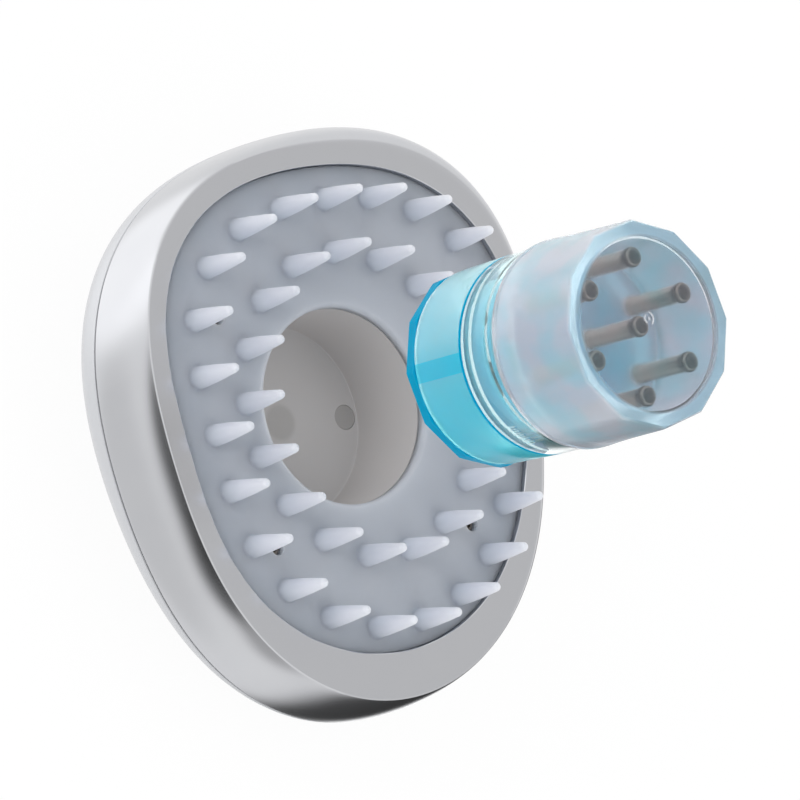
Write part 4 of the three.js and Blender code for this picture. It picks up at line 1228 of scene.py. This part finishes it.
def cap():
    low, high = cap_low, cap_high
    rim_r, band_r, front_r = BOTTLE_R + 0.6, BOTTLE_R + 0.5, BOTTLE_R + 0.2
    band_z = low + 2.6
    ceiling = high - CAP_FRONT_WALL
    front = faceted(front_r)
    shade = faceted(front_r - 0.8)

    def side(share):
        """The side's outline, a share of the way from the band to the front."""
        return lambda angle: band_r + (front(angle) - band_r) * share

    profile = [(SPIGOT_R + 0.3, low), (rim_r - 0.25, low), (rim_r, low + 0.25), (rim_r, low + 0.9),
               (rim_r - 0.25, low + 1.15), (rim_r - 0.25, low + 1.6), (rim_r - 0.02, low + 1.85),
               (band_r, band_z)]
    profile += [(side(i / 8), band_z + (high - 0.9 - band_z) * i / 8) for i in range(1, 9)]
    profile += [(faceted(front_r - 0.12), high - 0.45), (faceted(front_r - 0.4), high - 0.12), (shade, high)]
    profile += [(SPIGOT_R - 2.0, high), (2.2, high)]
    shell = pull("clear_cap", profile, closed=False)
    room = [(SPIGOT_R + 0.3, low - 1), (SPIGOT_R + 0.3, plate_high + 0.1), (band_r - CAP_WALL_LOW, plate_high + 0.5),
            (front_r - CAP_WALL_TOP, ceiling - 0.5), (front_r - CAP_WALL_TOP - 0.5, ceiling)]
    return combine(shell, pull("room", room, closed=False), "DIFFERENCE")


def gate_mark(piece):
    """Cuts the mark of the gate: a fine ring and a dot in it."""
    spot = (well.x, well.y + GATE_OFFSET)
    foot, over = cap_high - 0.3, cap_high + 1
    ring = pull("gate", [(0.8, foot), (1.2, foot), (1.3, over), (0.7, over)], 40, spot)
    combine(piece, ring, "DIFFERENCE")
    return combine(piece, rod(0.3, foot, over, spot, 20), "DIFFERENCE")


lid = gate_mark(cap())
print("cap faces:", len(lid.data.polygons))

# %% [markdown]
# The cap's plastic is one, but its mould wasn't: the front was polished, inside and out, and the side left
# frosted. So the finish asks where on the cap it is, by the height and by the distance from the axis. The
# window is the polished front. The ring is a painted bluish band on the outer face, for the thick wall seen
# through the front's edge. The aqua clouds, drawn with an 8 mm noise, are painted too: they stand for the
# aqua behind the frosted plastic.

# %% Finish of the cap
CAP_CLOUD = 8.0
CAP_MILK = "#d9dde6"
# Painted colours: aqua seen through the frost, and the bluish thick wall seen through the front's edge.
PAINTED_AQUA_BEHIND = "#c0e0ea"
PAINTED_WALL_RING = "#b3d9ea"


def cap_zones(tree, place):
    """Two factors: the window in the front, and the ring round it on the outer face."""
    shifted = node(tree, "ShaderNodeVectorMath", {0: place, 1: (well.x * MM, well.y * MM, 0)}, operation="SUBTRACT")
    parts = node(tree, "ShaderNodeSeparateXYZ", {"Vector": shifted.outputs["Vector"]}).outputs
    flat = node(tree, "ShaderNodeCombineXYZ", {"X": parts["X"], "Y": parts["Y"]}).outputs["Vector"]
    radius = node(tree, "ShaderNodeVectorMath", {0: flat}, operation="LENGTH").outputs["Value"]
    front, face, disc = (node(tree, "ShaderNodeMapRange", {
        "Value": value,
        "From Min": start * MM,
        "From Max": end * MM,
    }).outputs["Result"] for value, start, end in (
        (parts["Z"], cap_high - 2.2, cap_high - 1.7),
        (parts["Z"], cap_high - 0.5, cap_high - 0.1),
        (radius, BOTTLE_R - 2.4, BOTTLE_R - 3.2),
    ))
    window = node(tree, "ShaderNodeMath", {0: front, 1: disc}, operation="MULTIPLY").outputs[0]
    ring = node(tree, "ShaderNodeMath", {0: face, 1: disc}, operation="SUBTRACT", use_clamp=True).outputs[0]
    return window, ring


def cap_plastic():
    material, tree = new_material("part_frosted_clear_styrene")
    place = node(tree, "ShaderNodeTexCoord").outputs["Object"]
    window, ring = cap_zones(tree, place)
    noise = node(tree, "ShaderNodeTexNoise", {"Vector": place, "Scale": 1 / (CAP_CLOUD * MM)}).outputs["Fac"]
    cloud = node(tree, "ShaderNodeMapRange", {"Value": noise, "From Min": 0.42, "From Max": 0.68}).outputs["Result"]
    # Painted see-through light: aqua clouds for the parts behind, and a bluish ring for the wall behind the front.
    milk = node(tree, "ShaderNodeMix", {"Factor": cloud, 6: linear(CAP_MILK), 7: linear(PAINTED_AQUA_BEHIND)},
                data_type="RGBA").outputs[2]
    tint = node(tree, "ShaderNodeMix", {"Factor": ring, 6: milk, 7: linear(PAINTED_WALL_RING)}, data_type="RGBA").outputs[2]
    frost = node(tree, "ShaderNodeMapRange", {"Value": window, "To Min": 0.26, "To Max": 0.13}).outputs["Result"]
    clarity = node(tree, "ShaderNodeMapRange", {"Value": window, "To Min": 0.7, "To Max": 0.95}).outputs["Result"]
    body = node(tree, "ShaderNodeBsdfPrincipled", {
        **STYRENE,
        "Base Color": tint,
        "Roughness": frost,
        "Specular IOR Level": 0.25,
        "Transmission Weight": clarity,
    })
    see_through(tree, body, "#eef1f6")
    return material


cap_piece = dress(lid, cap_plastic(), "cap_frost", "cap", "cap")
print("cap dressed in", cap_piece.data.materials[0].name)

# %% [markdown]
# ## What stays hidden
# The motor, the battery, the board and their fixings keep their CAD solids, because the shells hide them.
# They still get real finishes, so that an opened massager would look right too.

# %% Finishes inside
def plain(name, colour, shade, roughness, metallic=0.0):
    return finish(name, (colour, shade), (roughness - 0.06, roughness + 0.06), WEAR, 3.0, more={"Metallic": metallic})


INSIDE = {
    plain_abs: ("pad_carrier",),
    plain("zinc_plated_steel", "#b4b2ae", "#a8a6a3", 0.3, 1.0): (
        "motor_can", "motor_shaft", *[f"strap_screw_{i}" for i in (1, 2, 3, 4)], "board_screw_1", "board_screw_2"),
    plain("turned_brass", "#c9a457", "#b8934a", 0.32, 1.0): ("eccentric_weight",),
    plain("moulded_black_nylon", "#26282b", "#2c2e31", 0.6): ("motor_strap", "battery_strap", "tact_switch"),
    plain("shrink_film_on_steel", "#3f6fa8", "#39669c", 0.4): ("battery_cell",),
    plain("solder_mask_on_glass_fibre", "#1e5b3c", "#1a5236", 0.5): ("main_board",),
    plain("nickel_plated_magnet", "#9fa1a3", "#949698", 0.3, 1.0): ("well_magnet",),
}
for material, names in INSIDE.items():
    for name in names:
        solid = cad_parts[name]
        solid.data.materials.clear()
        solid.data.materials.append(material)
print("inner nodes dressed:", sum(len(names) for names in INSIDE.values()))

# %% [markdown]
# ## The studio
# The object lies on a pale floor in a white room. The room's light is 1, at which a colour renders about as
# it is written. A pure white background comes from what the camera sees of floor and world, not from more
# light. The floor keeps a soft shadow: part of it is a lit surface, and the rest shines by itself towards
# the camera. Rays that a mirror or a clear wall sends on meet the same mix, so the floor looks the same there.

# %% Floor and world
FLOOR_GLOW = 0.93


def floor_material():
    material, tree = new_material("pale_floor")
    lit = node(tree, "ShaderNodeBsdfDiffuse", {"Color": linear("#f4f4f4")}).outputs["BSDF"]
    glow = node(tree, "ShaderNodeEmission", {"Color": linear("#ffffff"), "Strength": 1.0}).outputs["Emission"]
    path = node(tree, "ShaderNodeLightPath").outputs
    seen = path["Is Camera Ray"]
    for ray in ("Is Glossy Ray", "Is Transmission Ray"):
        seen = node(tree, "ShaderNodeMath", {0: seen, 1: path[ray]}, operation="MAXIMUM").outputs[0]
    share = node(tree, "ShaderNodeMath", {0: seen, 1: FLOOR_GLOW}, operation="MULTIPLY").outputs[0]
    mix = node(tree, "ShaderNodeMixShader", {"Fac": share, 1: lit, 2: glow})
    node(tree, "ShaderNodeOutputMaterial", {"Surface": mix.outputs["Shader"]})
    return material


at_rest()
bpy.ops.mesh.primitive_plane_add(size=6, location=(0, 0, -0.0002))
floor = bpy.context.object
floor.name = "floor"
floor.data.materials.append(floor_material())

world = bpy.data.worlds.new("white_room")
bpy.context.scene.world = world
world.use_nodes = True
tree = world.node_tree
tree.nodes.clear()
ROOM_LIGHT = 1.0
glow = node(tree, "ShaderNodeBackground", {"Color": linear("#ffffff"), "Strength": ROOM_LIGHT})
node(tree, "ShaderNodeOutputWorld", {"Surface": glow.outputs["Background"]})
print("room light", ROOM_LIGHT)

# %% [markdown]
# Two large soft boxes light the object, the stronger one from the upper left, beside the camera. Soft light
# needs size: each lamp is more than half as wide as its distance, so that shadows melt away.

# %% Soft boxes
LAMP_AIM = Vector((0, 0, 0.03))


def soft_box(name, place, size, power):
    data = bpy.data.lights.new(name, "AREA")
    data.shape = "SQUARE"
    data.size = size
    data.energy = power
    lamp = bpy.data.objects.new(name, data)
    bpy.context.scene.collection.objects.link(lamp)
    lamp.location = Vector(place)
    lamp.rotation_euler = (LAMP_AIM - lamp.location).to_track_quat("-Z", "Y").to_euler()
    lamp.visible_glossy = False
    return lamp


key = soft_box("key", (-0.75, 0.35, 0.55), 0.5, 2.6)
fill = soft_box("fill", (0.3, -0.7, 0.8), 0.7, 1.2)
print("soft boxes:", *(f"{lamp.name} {lamp.data.energy:.1f} W" for lamp in (key, fill)))

# %% [markdown]
# Chrome has no look of its own: it shows what stands round it. A studio therefore hangs a white tent with
# patches of brighter and darker cloth. Here the tent is a large sphere that only reflections see, and every
# vertex carries a level, where 1 is white. A patch has a direction, a reach and a level, and fades out
# towards its edge. The patches draw the long highlight at the upper left, the dark line under the rim, the
# even grey of the bezel and the dark foot.

# %% The tent's cloth
TENT_WHITE = 0.98
PATCHES = [
    # azimuth, elevation, reach across, reach up, level
    (-165, -18, 48, 46, 0.82),
    (140, -2, 24, 74, 1.55),
    (116, -30, 42, 52, 1.42),
    (-168, 53, 30, 27, 0.08),
    (-140, 43, 28, 25, 0.04),
    (-110, 34, 20, 24, 0.5),
    (8, 51, 40, 24, 0.7),
    (-58, -18, 36, 58, 0.06),
    (-14, -22, 27, 36, 0.28),
    (-38, -26, 22, 34, 0.05),
    (-14, -54, 16, 10, 1.6),
]


def cloth(azimuth, elevation):
    """The tent's level in a direction."""
    level = TENT_WHITE
    for patch_azimuth, patch_elevation, across, up, patch_level in PATCHES:
        turn = abs((azimuth - patch_azimuth + 180) % 360 - 180) / across
        rise = abs(elevation - patch_elevation) / up
        share = max(0.0, min(1.0, (1 - math.hypot(turn, rise)) / 0.5))
        share = share * share * (3 - 2 * share)
        level += (patch_level - level) * share
    return level


print("tent levels:", round(cloth(140, 0), 2), "in the highlight and", round(cloth(-60, -10), 2), "at the foot")

# %% [markdown]
# The sphere's material only emits, by the level that each vertex carries, and all rays but reflections pass
# it by. From now on the floor isn't mirrored, because the tent stands for the whole room.

# %% The tent
TENT_R = 1.5


def tent():
    at_rest()
    bpy.ops.mesh.primitive_uv_sphere_add(segments=120, ring_count=60, radius=TENT_R, location=LAMP_AIM)
    sphere = bpy.context.object
    sphere.name = sphere.data.name = "tent"
    levels = []
    for vertex in sphere.data.vertices:
        across = math.hypot(vertex.co.x, vertex.co.y)
        azimuth, elevation = math.atan2(vertex.co.y, vertex.co.x), math.atan2(vertex.co.z, across)
        levels.append(cloth(math.degrees(azimuth), math.degrees(elevation)))
    attribute = sphere.data.attributes.new("level", "FLOAT", "POINT")
    attribute.data.foreach_set("value", levels)
    material, tree = new_material("tent_cloth")
    level = node(tree, "ShaderNodeAttribute", attribute_name="level").outputs["Fac"]
    glow = node(tree, "ShaderNodeEmission", {"Color": linear("#ffffff"), "Strength": level})
    node(tree, "ShaderNodeOutputMaterial", {"Surface": glow.outputs["Emission"]})
    sphere.data.materials.append(material)
    for ray in ("camera", "diffuse", "transmission", "shadow", "volume_scatter"):
        setattr(sphere, f"visible_{ray}", False)


tent()
floor.visible_glossy = False
print("tent radius:", TENT_R, "m")

# %% [markdown]
# The bottle hangs over the bezel. A photographer would lift it away to keep its blue out of the chrome, so
# reflections don't see the bottle's clear pieces and the seal between them.

# %% What the chrome doesn't mirror
clear_pieces = (base, body, seal, collar_piece, plate, cap_piece)
for piece in clear_pieces:
    piece.visible_glossy = False
print("left out of reflections:", [piece.name for piece in clear_pieces])

# %% [markdown]
# ## The camera
# The photograph was taken from the comb's left, well above it, with a long lens. The camera is set by what
# it looks at, how far off it stands and from which way, and how much it is rolled.

# %% Camera
CAMERA_TARGET = (well.x + 13.28, well.y + 0.12, pad_z)
CAMERA_AWAY = 935.6
CAMERA_BEARING = 188.0
CAMERA_HEIGHT = 50.96
CAMERA_ROLL = -8.62
LENS = 218.5


def set_camera():
    bearing, height = math.radians(CAMERA_BEARING), math.radians(CAMERA_HEIGHT)
    back = Vector((math.cos(bearing) * math.cos(height), math.sin(bearing) * math.cos(height), math.sin(height)))
    right = Vector((0, 1, 0)).cross(back).normalized()
    turn = Matrix.Rotation(math.radians(CAMERA_ROLL), 3, back)
    right = turn @ right
    upward = back.cross(right)
    data = bpy.data.cameras.new("camera")
    data.lens = LENS
    data.sensor_width = 36
    data.clip_start, data.clip_end = 0.05, 10
    camera = bpy.data.objects.new("camera", data)
    bpy.context.scene.collection.objects.link(camera)
    axes = Matrix((right, upward, back)).transposed()
    camera.matrix_world = Matrix.Translation(Vector(CAMERA_TARGET) * MM + back * CAMERA_AWAY * MM) @ axes.to_4x4()
    bpy.context.scene.camera = camera
    return camera


camera = set_camera()
bpy.context.scene.view_settings.view_transform = "Standard"
print("camera axes:", [tuple(round(c, 4) for c in camera.matrix_world.col[i][:3]) for i in range(3)])
print("camera at:", tuple(round(c / MM, 1) for c in camera.matrix_world.translation))
